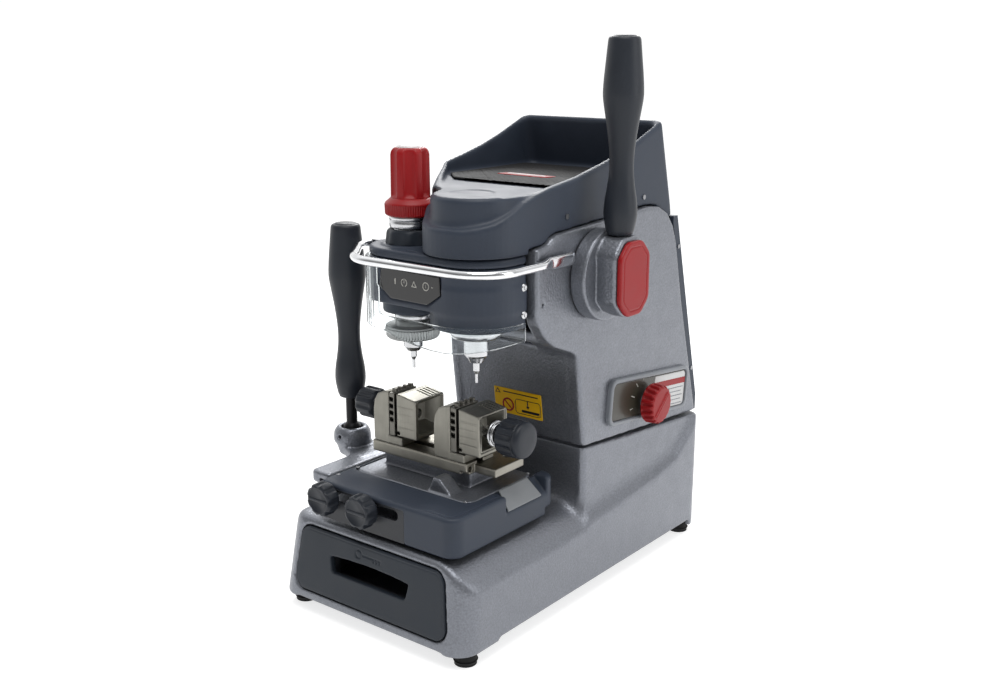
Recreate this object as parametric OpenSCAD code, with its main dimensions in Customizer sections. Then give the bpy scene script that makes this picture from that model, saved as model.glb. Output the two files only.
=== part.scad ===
/* [Base] */
// Width of the base casting at the floor
base_w = 230; // [220:1:240]
// Depth of the base casting
base_d = 408; // [400:1:410]
// Height of the rubber feet below the casting
foot_h = 12; // [8:1:14]
// Diameter of a rubber foot
foot_d = 20; // [16:1:26]
// Wall thickness of the castings
wall = 8; // [6:1:9]

/* [Drawer] */
// Length of the drawer tray behind its front
drawer_len = 172; // [120:1:175]
// Wall thickness of the drawer tray
tray_wall = 2.5; // [2:0.5:4]

/* [Table] */
// Height of the table top above the floor
table_z = 132; // [131:0.5:132.5]
// Distance between the two vises and between the two tools
tool_pitch = 75; // [72:1:76]
// Open gap between the two jaws of a vise
jaw_gap = 3; // [2:0.5:4]

/* [Head] */
// Centre of the tracer from the middle plane
tracer_x = -20; // [-22:1:-18]
// Front to back position of both tools
tool_y = -110; // [-112:1:-110]
// Outside radius of the round head ends
head_r = 38; // [36:1:38]
// Wall thickness of the head and the upper cover
cover_t = 3; // [2.5:0.5:4]

/* [Levers] */
// Length of a turned lever grip
grip_len = 172; // [150:1:172]
// Largest diameter of a turned lever grip
grip_d = 36; // [32:1:36]
// Diameter of the Z lever hub
hub_d = 84; // [70:1:86]

/* [Hidden] */
$fn = 64;

spin_x = tracer_x + tool_pitch;   // cutter spindle centre
bw = base_w/2;
bd = base_d/2;
body_z0 = foot_h;                 // underside of the base casting
base_top = 92;
seam_hi = 152;                    // bottom of the column casting at its front
// the joint falls towards the back
function seam(y) = seam_hi - 0.081*(y + 14);
col_x0 = -48;
col_x1 = 106;
arm_z0 = 262;
deck_z = 345;                     // top of the head
hub_z = 316;                      // Z lever axis, at y = 0
lever_x = 131;
stick_x = -114;
stick_y = -100;
pivot_z = 97;                     // joystick gimbal centre
ball_z = 147;                     // joystick ball in the table's ring
jaw_y0 = tool_y - 18;             // front of the vises
jaw_y1 = tool_y + 22;
jaw_top = 207;
bed_z = 156;
screw_z = 184;                    // axis of the clamp screws
gapR = tracer_x + tool_pitch - 8; // centre of the right vise's gap
gapL = gapR - tool_pitch;

// middle of the whole machine in plan
mid_x = (col_x1 + 43 + stick_x - 18.5)/2;
mid_y = (bd - 209)/2;
module place() { translate([-mid_x, -mid_y, 0]) children(); }

// rounded rectangle between two corners
module rr(x0, y0, x1, y1, r) {
  hull() for (x = [x0 + r, x1 - r], y = [y0 + r, y1 - r])
    translate([x, y]) circle(r);
}
// rounded block
module rblock(x0, y0, z0, x1, y1, z1, r) {
  translate([0, 0, z0]) linear_extrude(z1 - z0) rr(x0, y0, x1, y1, r);
}
module block(x0, y0, z0, x1, y1, z1) {
  translate([x0, y0, z0]) cube([x1 - x0, y1 - y0, z1 - z0]);
}
// a shape drawn in Y,Z and extruded along X
module yz(x0, x1) {
  translate([x0, 0, 0]) rotate([90, 0, 90]) linear_extrude(x1 - x0) children();
}
// a shape drawn in X,Z and extruded along Y, from y0 back to y1
module xz(y0, y1) {
  translate([0, y1, 0]) rotate([90, 0, 0]) linear_extrude(y1 - y0) children();
}
module xcyl(x0, x1, y, z, r) {
  translate([x0, y, z]) rotate([0, 90, 0]) cylinder(r = r, h = x1 - x0);
}
module ycyl(y0, y1, x, z, r) {
  translate([x, y1, z]) rotate([90, 0, 0]) cylinder(r = r, h = y1 - y0);
}
module zcyl(x, y, z0, z1, r) {
  translate([x, y, z0]) cylinder(r = r, h = z1 - z0);
}

// ---------------------------------------------------------------- base
function front_y(z) = -bd + 10*(z - body_z0)/(base_top - body_z0);
col_plan = [[col_x0, -12], [col_x1, -12], [col_x1 + 3, 40], [col_x1 + 4, 200], [col_x0, 200]];

module base_outer() {
  hull() {
    translate([0, 0, body_z0]) linear_extrude(0.5) rr(-bw, -bd, bw, bd, 22);
    translate([0, 0, 68]) linear_extrude(1)
      rr(-bw + 6, front_y(68), bw - 1, bd, 20);
    translate([0, 0, 84]) linear_extrude(1)
      rr(-bw + 8, front_y(84), bw - 6, bd, 20);
    translate([0, 0, base_top - 1]) linear_extrude(1)
      rr(-bw + 13, front_y(92) + 5, bw - 14, bd - 4, 20);
  }
}
module stub_plan(e) {
  offset(r = e) polygon([[col_x0 + 6, -8], [col_x1 - 6, -8], [col_x1 - 3, 194], [col_x0 + 6, 194]]);
}
module stub(e, drop) {
  intersection() {
    translate([0, 0, 70]) linear_extrude(90) stub_plan(e);
    yz(-200, 200) polygon([[-100, 60], [-100, seam(-100) - drop], [300, seam(300) - drop], [300, 60]]);
  }
}
module base_casting() {
  color([0.50, 0.51, 0.54]) difference() {
    union() {
      base_outer();
      // stub that carries the column
      stub(6, 6);
      // band that the column stands on
      stub(4.8, 0);
      // flared shoulder on the right of the stub
      hull() {
        translate([0, 0, 80]) linear_extrude(1) rr(60, 60, bw - 3, bd, 12);
        translate([0, 0, 124]) linear_extrude(1) rr(60, 150, bw - 1, bd - 2, 10);
      }
    }
    // hollow inside, open at the bottom
    block(-bw + 18, -bd + 20, body_z0 - 1, bw - 18, bd - 12, base_top - wall);
    // drawer mouth, with a recess for the drawer front
    block(-84, -bd - 5, 22, 84, -bd + 40, 80);
    drawer_slab(0.6, -10, 6.4);
    // hollow in the stub
    block(col_x0 + wall, wall - 12, 80, col_x1 - wall - 4, 184, seam_hi + 8);
  }
}
module rubber_feet() {
  color([0.05, 0.05, 0.05])
  for (x = [-100, 100], y = [-182, 184]) {
    difference() {
      union() {
        zcyl(x, y, 0, foot_h, foot_d/2);
        translate([x, y, 0]) cylinder(r1 = foot_d/2 - 1, r2 = foot_d/2 + 1, h = 4);
      }
      zcyl(x, y, -1, 4, 4);
    }
  }
}
// ---------------------------------------------------------------- drawer
// leaning panel outline, drawn on the base's front face
module drawer_outline(e) {
  hull() {
    translate([-81, 35]) circle(12 + e);
    translate([81, 35]) circle(12 + e);
    translate([-76, 73]) circle(12 + e);
    translate([76, 73]) circle(12 + e);
  }
}
module drawer_slab(e, y0, y1) {
  translate([0, -bd - 1.5, 0]) rotate([-7.1, 0, 0]) xz(y0, y1) drawer_outline(e);
}
module drawer_front() {
  color([0.17, 0.19, 0.22]) difference() {
    drawer_slab(0, 0, 6);
    // finger slot
    translate([0, -bd - 1.5, 0]) rotate([-7.1, 0, 0]) xz(-1, 8) hull()
      for (s = [-1, 1]) { translate([s*46, 62]) circle(3); translate([s*42, 50]) circle(4); }
  }
}
module drawer_tray() {
  color([0.30, 0.31, 0.33]) difference() {
    block(-82, -204, 24, 82, -190 + drawer_len, 78);
    block(-82 + tray_wall, -184, 24 + tray_wall, 82 - tray_wall,
          -190 + drawer_len - tray_wall, 90);
    // the front wall lies against the back of the leaning front
    translate([0, -bd - 1.5, 0]) rotate([-7.1, 0, 0]) block(-100, -40, 0, 100, 6.02, 100);
    // finger room behind the slot
    block(-50, -210, 42, 50, -183, 90);
  }
}
// ---------------------------------------------------------------- column
module column_casting() {
  color([0.50, 0.51, 0.54]) difference() {
    union() {
      // front wall
      yz(col_x0, col_x1) polygon([[-14, seam(-14)], [-26, 243], [-16, 243], [-4, seam(-4)]]);
      // left wall under the sloping shelf
      yz(col_x0, col_x0 + wall) polygon([[-14, seam(-14)], [-26, 243], [150, 176], [186, seam(186)]]);
      // sloping shelf
      yz(col_x0, col_x1 - 14) polygon([[-26, 243], [150, 176], [150, 170], [-20, 235]]);
      // rear wall
      yz(col_x0, col_x1) polygon([[146, 168], [146, 261.5], [158, 261.5], [192.6, seam(192.6)], [180, seam(180)]]);
      // right wall
      yz(col_x1 - 14, col_x1) polygon([[-14, seam(-14)], [-26, 243], [-26.7, 246], [-26.7, 261.5], [163, 261.5], [201, seam(201)]]);
    }
    // window for the switch body behind the panel
    xcyl(70, 120, 90, 172, 12.05);
  }
}
module rear_cover() {
  color([0.15, 0.17, 0.20]) difference() {
    yz(col_x0 + 2, col_x1 - 2)
      polygon([[202, 135.5], [163.4, 262], [142.6, 345], [142.6, 352], [150.5, 352], [204, 152], [204, 135.5]]);
    back_local(-20, 190) ycyl(-30, 10, 0, 0, 9.6);
    back_local(24, 190) block(-8.2, -30, -12, 8.2, 10, 12);
  }
}
// ---------------------------------------------------------------- arm
module arm_casting() {
  color([0.50, 0.51, 0.54]) difference() {
    union() {
      // right cheek
      yz(col_x1 - 14, col_x1) polygon([[-27.2, 262], [-44, 251], [-62, 258], [-78, 270],
        [-86, 283], [-90, 290], [-90, 350], [-72, 350], [-69, 355], [-60, 358],
        [6, 362], [93, 367.5], [112, 366], [128, 358], [140, 344], [147, 326], [163, 262]]);
      // floor
      block(col_x0, -72, arm_z0, col_x1 - 10, 156, arm_z0 + 8);
      // front plate that carries the rails
      block(col_x0, -72, arm_z0, col_x1 - 10, -60, 340);
      // left wall
      block(col_x0, -72, arm_z0, col_x0 + 8, 130, 344);
      // rear wall
      block(col_x0, 122, arm_z0, col_x1 - 10, 130, 344);
      // boss round the hub shaft
      xcyl(col_x1 - 26, col_x1 - 5, 0, hub_z, 20);
    }
    // shaft bore
    xcyl(60, 130, 0, hub_z, 8.05);
    // slot for the rack bracket
    block(66, -80, 272, 86, -50, 350);
    // motor hole
    zcyl(5, 45, 250, 280, 16);
  }
}
// plan of the upper cover
module cover_plan(e) {
  hull() {
    translate([spin_x, tool_y]) circle(46 + e, $fn = 96);
    translate([86, 116]) circle(14 + e);
    translate([-46, 110]) circle(24 + e);
    translate([-56, -2]) circle(14 + e);
    translate([-30, -24]) circle(14 + e);
  }
}
// everything under the sloping rim, in Y,Z
module rim_side(d) {
  polygon([[-300, 340], [-300, 371 - d], [-150, 371 - d], [-132, 378 - d], [-100, 391 - d],
    [-60, 400 - d], [-20, 404 - d], [22, 414 - d], [50, 421 - d], [78, 430 - d], [104, 440 - d],
    [124, 448 - d], [200, 452 - d], [200, 340]]);
}
// everything in front of the leaning back
module lean_side(d) {
  polygon([[-300, 330], [-300, 470], [124 - d, 470], [149 - d, 344], [151 - d, 330]]);
}
module upper_cover() {
  color([0.18, 0.20, 0.24]) difference() {
    union() {
      intersection() {
        translate([0, 0, 346]) linear_extrude(120) cover_plan(0);
        yz(-200, 200) rim_side(0);
        yz(-200, 200) lean_side(0);
      }
      translate([spin_x, tool_y, 346]) cylinder(r = 38, h = 49, $fn = 96);
    }
    // inside, under the tray floor
    intersection() {
      translate([0, 0, 340]) linear_extrude(52) cover_plan(-cover_t);
      yz(-200, 200) rim_side(cover_t);
      yz(-200, 200) lean_side(cover_t + 1);
    }
    translate([spin_x, tool_y, 340]) cylinder(r = 35, h = 52, $fn = 96);
    // tray above the floor
    intersection() {
      translate([0, 0, 395]) linear_extrude(80) cover_plan(-3);
      yz(-200, 200) polygon([[-112, 395], [-112, 500], [200, 500], [200, 395]]);
      yz(-200, 200) lean_side(5);
    }
    // round recess in the top of the pulley housing
    translate([spin_x - 14, tool_y + 10, 393.4]) cylinder(r = 18, h = 5);
    // room for the tracer's collar and knob
    zcyl(tracer_x, tool_y, 330, 480, 26.5);
    // room for the right cheek of the arm
    yz(col_x1 - 14.3, 200) polygon([[-94, 340], [-94, 350.3], [-73, 350.3], [-69.5, 355.3],
      [-60, 358.3], [6, 362.3], [93, 367.8], [112, 366.3], [128.3, 358.2],
      [141, 344], [150, 340]]);
    // room for the walls of the arm
    block(-80, -73, 330, 96, 131, 344.4);
    // room for the rear cover's top edge
    yz(-60, 200) polygon([[142, 330], [142, 352.4], [200, 352.4], [200, 330]]);
  }
}
module storage_mat() {
  color([0.12, 0.12, 0.12])
    translate([0, 0, 395]) linear_extrude(3) hull() {
      for (p = [[-52, -8], [-55, 108], [76, 104], [82, -48], [-30, -30]])
        translate(p) circle(6);
    }
}
// ------------------------------------------------------------- bumper bar
bar_z = 337;
module bar_path(r, q) {
  // outer or inner outline of the bar in plan
  hull() {
    translate([col_x1 - 30, -130]) circle(34 + q);
    translate([-20, -128]) circle(36 + q);
    translate([-46, -98]) circle(36 + q);
    translate([col_x1 - 10, -50]) circle(14 + q);
    translate([-40, -60]) circle(30 + q);
  }
}
module bumper_bar() {
  color([0.85, 0.85, 0.86]) {
    translate([0, 0, bar_z - 3.5]) linear_extrude(7) difference() {
      bar_path(0, 6.5);
      bar_path(0, 0);
      polygon([[200, -74], [200, 60], [-200, 60], [-200, -91], [0, -91], [0, -74]]);
    }
    // flat end on the right cheek
    block(col_x1, -88, bar_z - 7, col_x1 + 4, -44, bar_z + 7);
    // left end tab
    block(-81, -91, bar_z - 3.5, -52, -85, bar_z + 3.5);
    block(-58, -88, bar_z - 3.5, -52, -60, bar_z + 3.5);
    block(-58, -66, bar_z - 3.5, col_x0, -60, bar_z + 3.5);
  }
}
module cover_screws() {
  color([0.25, 0.25, 0.27]) {
    xcyl(col_x1 + 4, col_x1 + 6.5, -66, bar_z, 4);
    xcyl(col_x1 + 4, col_x1 + 6.5, -52, bar_z, 2.4);
    xcyl(spin_x + 46, spin_x + 47, -40, 372, 2.4);
    xcyl(100.2, 101.2, 90, 376, 2.4);
    xcyl(col_x1 - 2, col_x1 - 1, 154, 320, 2.2);
    xcyl(col_x1 - 2, col_x1 - 1, 191.3, 184, 2.2);
  }
}
// ---------------------------------------------------------- control panel
panel_y = 99;
panel_z = 177;
module panel_local() { translate([0, panel_y, panel_z]) rotate([-6.1, 0, 0]) children(); }
module control_panel() {
  color([0.35, 0.36, 0.38]) difference() {
    union() {
      panel_local() yz(col_x1, col_x1 + 5) rr(-75, -23, 75, 23, 9);
      // rotary switch body behind the panel
      xcyl(72, col_x1 + 1, 90, 172, 12);
      xcyl(col_x1 + 4, col_x1 + 9, 90, 172, 9);
    }
    panel_local() yz(col_x1 + 2.5, col_x1 + 6) difference() {
      rr(-71, -19, 71, 19, 6);
      translate([-9, -5]) circle(16);
    }
    xcyl(90, col_x1 + 20, 90, 172, 3.05);
  }
}
// ribbed hand knob standing on x = 0 and pointing to +x
module fluted(r, h, n, lobe) {
  difference() {
    union() {
      cylinder(r = r, h = h);
      translate([0, 0, h]) cylinder(r = r - 1.5, h = 1);
    }
    for (i = [0:n - 1]) rotate([0, 0, i*360/n + 180/n])
      translate([r + lobe*0.55, 0, -1]) cylinder(r = lobe, h = h + 3, $fn = 24);
  }
}
module selector_knob() {
  color([0.65, 0.05, 0.07]) {
    translate([col_x1 + 9.4, 90, 172]) rotate([0, 90, 0]) fluted(20, 13, 10, 3.4);
    xcyl(92, col_x1 + 10, 90, 172, 3);
  }
}
// ------------------------------------------------------------ table drive
module linear_rails() {
  color([0.75, 0.76, 0.78]) {
    for (x = [-40, 52]) difference() {
      block(x - 6, -170, base_top, x + 6, -30, base_top + 8);
      for (y = [-158:40:-38]) zcyl(x, y, base_top + 4, base_top + 9, 3);
    }
    for (x = [2, 50]) difference() {
      block(x - 6, -80, 272, x + 6, -72, 338);
      for (z = [284, 326]) ycyl(-81, -76, x, z, 3);
    }
  }
}
module y_bearing_blocks() {
  color([0.6, 0.61, 0.63])
  for (x = [-40, 52], y = [-145, -75]) difference() {
    block(x - 13, y - 20, base_top + 1, x + 13, y + 20, base_top + 12);
    block(x - 6.3, y - 21, base_top, x + 6.3, y + 21, base_top + 8.3);
  }
}
module saddle() {
  color([0.50, 0.51, 0.54]) difference() {
    union() {
      rblock(-74, -166, base_top + 12, 70, -54, base_top + 18, 6);
      // front bar that carries the two lock screws
      block(-66, -176, base_top + 12, 12, -164, base_top + 33);
    }
    rblock(-20, -126, base_top + 10, 40, -94, base_top + 30, 8);
    for (x = [-51, -3]) ycyl(-180, -148, x, base_top + 28, 2.05);
  }
}
module x_rails() {
  color([0.75, 0.76, 0.78])
  for (y = [-146, -74]) difference() {
    block(-72, y - 5, base_top + 18, 68, y + 5, base_top + 25);
    for (x = [-60:30:60]) zcyl(x, y, base_top + 22, base_top + 26, 2.6);
  }
}
module x_bearing_blocks() {
  color([0.6, 0.61, 0.63])
  for (x = [-34, 46], y = [-146, -74]) difference() {
    block(x - 16, y - 11, base_top + 18.6, x + 16, y + 11, base_top + 29);
    block(x - 17, y - 5.3, base_top + 18, x + 17, y + 5.3, base_top + 25.3);
  }
}
module x_carriage() {
  color([0.50, 0.51, 0.54]) {
    difference() {
      union() {
        // table plate over the bearing blocks
        rblock(-92, -178, base_top + 29, 82, -52, table_z - 5.4, 7);
        // raised left edge
        rblock(-92, -178, base_top + 29, -67, -52, table_z, 6);
        block(-92, -170, base_top + 16, -77, -60, base_top + 30);
        // well floor under the vise bed
        rblock(-62, -150, table_z - 6, 78, -56, table_z - 1, 8);
        // arm out to the joystick ring
        hull() {
          zcyl(stick_x, stick_y, ball_z - 14, ball_z - 8, 15.5);
          block(-92, -118, table_z - 8, -80, -82, table_z - 2);
        }
        zcyl(stick_x, stick_y, ball_z - 16, ball_z - 8, 15.5);
        zcyl(stick_x, stick_y, ball_z - 8, ball_z + 1, 18.5);
        translate([stick_x, stick_y, ball_z + 1]) cylinder(r1 = 18.5, r2 = 14.5, h = 3);
        // pedestal under the bed
        block(gapL - 22, -120, table_z - 2, gapR + 8, -84, bed_z - 11);
        // chip guide wedges in front of the bed
        xz(-146, -129) polygon([[26, table_z - 2], [54, table_z - 2], [54, table_z + 4], [40, table_z + 14], [33, table_z + 14]]);
        block(-30, -146, table_z - 2, 6, -124, table_z + 12);
      }
      // ring bore and the clearance under it
      zcyl(stick_x, stick_y, ball_z - 9, ball_z + 6, 10.9);
      zcyl(stick_x, stick_y, 100, ball_z - 7, 13);
      // clearance for the rod below the arm
      zcyl(stick_x, stick_y, 100, ball_z - 13, 14.5);
      // clearance for the lock screws
      block(-80, -190, 110, 36, -160, base_top + 34);
      // set screw hole in the ring
      ycyl(-125, -109, stick_x, ball_z - 4, 2);
    }
  }
}
module table_cover() {
  color([0.17, 0.19, 0.23]) difference() {
    union() {
      rblock(-66, -191, 95, 96, -43, table_z, 14);
      block(-66, -191, table_z - 6, -40, -150, table_z);
    }
    // underside
    difference() {
      rblock(-90, -187, 90, 92, -47, table_z - 5, 11);
    }
    block(-90, -200, 90, -62.2, -30, table_z - 5);
    // the rear wall ends above the rails
    block(-90, -60, 90, 100, -40, base_top + 11);
    // U-shaped opening in the top
    rblock(-63, -151, 100, 79, -20, table_z + 1, 10);
    block(-80, -60, 90, 70, -30, 160);
    // opening for the front plate
    block(-80, -200, 90, 38, -180, table_z - 5);
  }
}
module table_front_plate() {
  color([0.14, 0.15, 0.17]) difference() {
    block(-66, -190, 96, 37.7, -187.2, table_z - 5.2);
    block(-70, -200, 115, 26, -180, 125);
    ycyl(-200, -180, 26, 120, 5);
  }
}
module lock_knob(x) {
  translate([x, -194, 120]) rotate([90, 0, 0]) {
    fluted(15.5, 14, 8, 3.4);
  }
  ycyl(-195, -165, x, 120, 2);
}
module x_lock_knob() { color([0.15, 0.16, 0.18]) lock_knob(-3); }
module y_lock_knob() { color([0.15, 0.16, 0.18]) lock_knob(-51); }

// ----------------------------------------------------------------- vises
module vise_bed() {
  color([0.62, 0.60, 0.56]) difference() {
    union() {
      block(gapL - 30, jaw_y0, bed_z - 11, gapR + 10, jaw_y1, bed_z);
      block(gapL - 30, jaw_y1 - 1, bed_z - 11, gapR + 34, jaw_y1 + 14, bed_z - 3);
      block(gapR + 9, jaw_y0 + 12, bed_z - 11, gapR + 34, jaw_y1, bed_z - 3);
    }
    // T slot along the front
    block(gapL - 32, jaw_y0 + 16, bed_z - 4, gapR + 12, jaw_y0 + 24, bed_z + 1);
    xcyl(gapR + 4, gapR + 12, jaw_y0 + 6, bed_z - 6, 2.5);
  }
}
// body of a vise whose gap is centred on x = 0
module vise_body(both) {
  difference() {
    union() {
      xz(jaw_y0, jaw_y1) polygon([[-28, bed_z], [-28, 187], [-26.5, 196], [-22, 203], [-15, jaw_top - 1],
        [-8.5, jaw_top], [-8.5, bed_z]]);
      xz(jaw_y0, jaw_y1) polygon([[-9, bed_z], [-9, 164], [jaw_gap/2 + 3, 164], [jaw_gap/2 + 3, bed_z]]);
    }
    // seat for the insert
    block(-8, jaw_y0 - 1, 164, 3, jaw_y1 + 1, jaw_top + 2);
    // rounded back of the top
    translate([-34, jaw_y1 - 8, jaw_top - 9]) rotate([-40, 0, 0]) cube([50, 40, 30]);
    // screw bore
    xcyl(-40, 20, tool_y + 2, screw_z, 4.1);
  }
}
module left_vise_body() { color([0.62, 0.60, 0.56]) translate([gapL, 0, 0]) vise_body(false); }
module right_vise_body() { color([0.62, 0.60, 0.56]) translate([gapR, 0, 0]) vise_body(true); }
module jaw_inserts() {
  color([0.58, 0.56, 0.52])
  for (g = [gapL, gapR]) difference() {
    union() {
      block(g - 8, jaw_y0, 164, g - jaw_gap/2, jaw_y1, jaw_top - 1);
      for (i = [0:3]) block(g - 7, -124 + i*8, jaw_top - 1, g - 2.5, -120 + i*8, jaw_top + 3);
    }
    for (i = [0:3]) block(g - 7, jaw_y0 - 1, 178 + i*6.4, g - 3, jaw_y1 + 1, 182 + i*6.4);
    xcyl(g - 10, g + 10, tool_y + 2, screw_z, 4.1);
    block(g - 20, jaw_y1 - 9, jaw_top - 9, g + 10, jaw_y1 + 4, jaw_top + 8);
  }
}
module moving_jaw() {
  difference() {
    union() {
      xz(jaw_y0, jaw_y1) polygon([[jaw_gap/2, 165], [jaw_gap/2, jaw_top - 1], [6, jaw_top - 1], [24, jaw_top - 4],
        [25.5, jaw_top - 6], [25.5, 165]]);
    }
    // pyramid recess on the outer side, in three steps
    translate([26, tool_y + 2, 186]) rotate([0, -90, 0]) linear_extrude(16, scale = 0.45) square([32, 30], center = true);
    xcyl(-10, 40, tool_y + 2, screw_z, 4.1);
    // marks on top
    for (i = [0:3]) block(7, -104 + i*4, jaw_top - 5, 24, -103 + i*4, jaw_top + 1);
  }
}
module left_moving_jaw() { color([0.60, 0.58, 0.54]) translate([gapL, 0, 0]) moving_jaw(); }
module right_moving_jaw() { color([0.60, 0.58, 0.54]) translate([gapR, 0, 0]) moving_jaw(); }
// screw with its collar; dir = -1 enters from the left, 1 from the right
module left_clamp_screw() {
  color([0.8, 0.8, 0.8]) {
    xcyl(gapL - 36, gapL + 10, tool_y + 2, screw_z, 4);
    xcyl(gapL - 33, gapL - 28.4, tool_y + 2, screw_z, 12);
    xcyl(gapL - 38, gapL - 32, tool_y + 2, screw_z, 9);
  }
}
module right_clamp_screw() {
  color([0.8, 0.8, 0.8]) {
    xcyl(gapR - 16, gapR + 37, tool_y + 2, screw_z, 4);
    xcyl(gapR + 18, gapR + 26, tool_y + 2, screw_z, 6.2);
    xcyl(gapR + 25.8, gapR + 31, tool_y + 2, screw_z, 12);
    xcyl(gapR + 30, gapR + 37, tool_y + 2, screw_z, 8.5);
  }
}
module left_clamp_knob() {
  color([0.12, 0.12, 0.14])
    translate([gapL - 38, tool_y + 2, screw_z]) rotate([0, -90, 0]) fluted(15, 22, 8, 3);
}
module right_clamp_knob() {
  color([0.16, 0.17, 0.20])
    translate([gapR + 37, tool_y + 2, screw_z]) rotate([0, 90, 0]) fluted(17, 26, 10, 3);
}
// -------------------------------------------------------------- joystick
module pivot_bracket() {
  color([0.35, 0.36, 0.38]) difference() {
    union() {
      for (s = [-1, 1]) block(stick_x + s*13.5 - 2.5, stick_y - 9, 84, stick_x + s*13.5 + 2.5, stick_y + 9, 105);
      block(stick_x - 16, stick_y - 9, 80, stick_x + 16, stick_y + 9, 86);
      block(stick_x - 2, stick_y - 9, 80, -90, stick_y + 9, 86);
    }
    xcyl(stick_x - 20, stick_x + 20, stick_y, pivot_z, 3.05);
    base_outer();
  }
}
module joystick_cross() {
  color([0.7, 0.7, 0.72]) {
    difference() {
      block(stick_x - 10, stick_y - 8, pivot_z - 5, stick_x + 10, stick_y + 8, pivot_z + 5);
      block(stick_x - 7.5, stick_y - 3.3, pivot_z - 6, stick_x + 7.5, stick_y + 3.3, pivot_z + 6);
    }
    xcyl(stick_x - 16, stick_x - 9, stick_y, pivot_z, 3);
    xcyl(stick_x + 9, stick_x + 16, stick_y, pivot_z, 3);
    ycyl(stick_y - 7, stick_y + 7, stick_x, pivot_z, 2.2);
  }
}
module joystick_rod() {
  color([0.2, 0.2, 0.21]) difference() {
    union() {
      ycyl(stick_y - 3, stick_y + 3, stick_x, pivot_z, 4.5);
      intersection() {
        zcyl(stick_x, stick_y, pivot_z, pivot_z + 14, 4);
        block(stick_x - 5, stick_y - 3, pivot_z, stick_x + 5, stick_y + 3, pivot_z + 20);
      }
      zcyl(stick_x, stick_y, pivot_z + 11, ball_z, 4);
      translate([stick_x, stick_y, ball_z]) sphere(r = 9.3);
      zcyl(stick_x, stick_y, ball_z, ball_z + 60, 5.5);
    }
    ycyl(stick_y - 5, stick_y + 5, stick_x, pivot_z, 2.25);
  }
}
// turned grip standing on z = 0
module grip(bore_d, bore_l) {
  r = grip_d/2;
  L = grip_len;
  difference() {
    rotate_extrude() polygon([[0, 0], [r*0.60, 0], [r*0.72, L*0.03], [r*0.83, L*0.10],
      [r*0.80, L*0.17], [r*0.68, L*0.25], [r*0.60, L*0.33], [r*0.62, L*0.42],
      [r*0.74, L*0.53], [r*0.88, L*0.62], [r*0.98, L*0.68], [r, L*0.72],
      [r*0.96, L*0.79], [r*0.88, L*0.88], [r*0.80, L*0.97], [r*0.74, L*0.99], [r*0.60, L], [0, L]]);
    if (bore_l > 0) translate([0, 0, -1]) cylinder(r = bore_d/2, h = bore_l + 1);
  }
}
module joystick_grip() {
  color([0.13, 0.14, 0.16]) translate([stick_x, stick_y, 182]) grip(11, 25);
}
// --------------------------------------------------------------- Z lever
module z_hub() {
  color([0.50, 0.51, 0.54]) {
    difference() {
      union() {
        xcyl(col_x1 + 0.4, col_x1 + 22, 0, hub_z, hub_d/2);
        intersection() {
          xcyl(col_x1 + 20, col_x1 + 38, 0, hub_z, 37);
          yz(col_x1 + 20, col_x1 + 38) polygon([[-27, 250], [27, 250], [27, 380], [-27, 380]]);
        }
      }
      xcyl(col_x1 - 5, col_x1 + 30, 0, hub_z, 8);
      zcyl(lever_x, 0, hub_z + 8, hub_z + 60, 6);
      // flat under the lever grip
      zcyl(lever_x, 0, hub_z + 38.2, hub_z + 60, 14);
    }
    // stud of the lever
    zcyl(lever_x, 0, hub_z + 8, hub_z + 62, 6);
  }
}
module z_hub_cap() {
  color([0.70, 0.06, 0.09]) difference() {
    intersection() {
      xcyl(col_x1 + 38, col_x1 + 43, 0, hub_z, 33);
      yz(col_x1 + 38, col_x1 + 43) polygon([[-25, hub_z - 22], [-14, hub_z - 34], [14, hub_z - 34],
        [25, hub_z - 22], [25, hub_z + 22], [14, hub_z + 34], [-14, hub_z + 34], [-25, hub_z + 22]]);
    }
  }
}
module z_lever_grip() {
  color([0.13, 0.14, 0.16]) translate([lever_x, 0, 354.5]) grip(12, 26.5);
}
pinion_n = 23;
pinion_m = 2;
module pinion_shaft() {
  pr = pinion_n*pinion_m/2;
  color([0.7, 0.7, 0.72]) {
    xcyl(48, col_x1 + 18, 0, hub_z, 8);
    translate([69, 0, hub_z]) rotate([90, 0, 90]) linear_extrude(11) union() {
      circle(pr - 2.4);
      for (i = [0:pinion_n - 1]) rotate(180 + i*360/pinion_n)
        polygon([[pr - 3.4, -1.9], [pr, -1.25], [pr + 1.7, -0.6], [pr + 1.7, 0.6], [pr, 1.25], [pr - 3.4, 1.9]]);
    }
  }
}
// torsion coil round the inner end of the shaft
module return_spring() {
  color([0.45, 0.45, 0.47]) {
    translate([50, 0, hub_z]) rotate([0, 90, 0]) rotate_extrude()
      polygon(concat([for (k = [0:10]) [12.2 + 1.3*(k % 2), k*1.4]],
                     [for (k = [10:-1:0]) [10.2 + 0.9*((k + 1) % 2), k*1.4]]));
    block(50, 10.5, hub_z - 1.5, 53, 30, hub_z + 1.5);
  }
}
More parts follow.
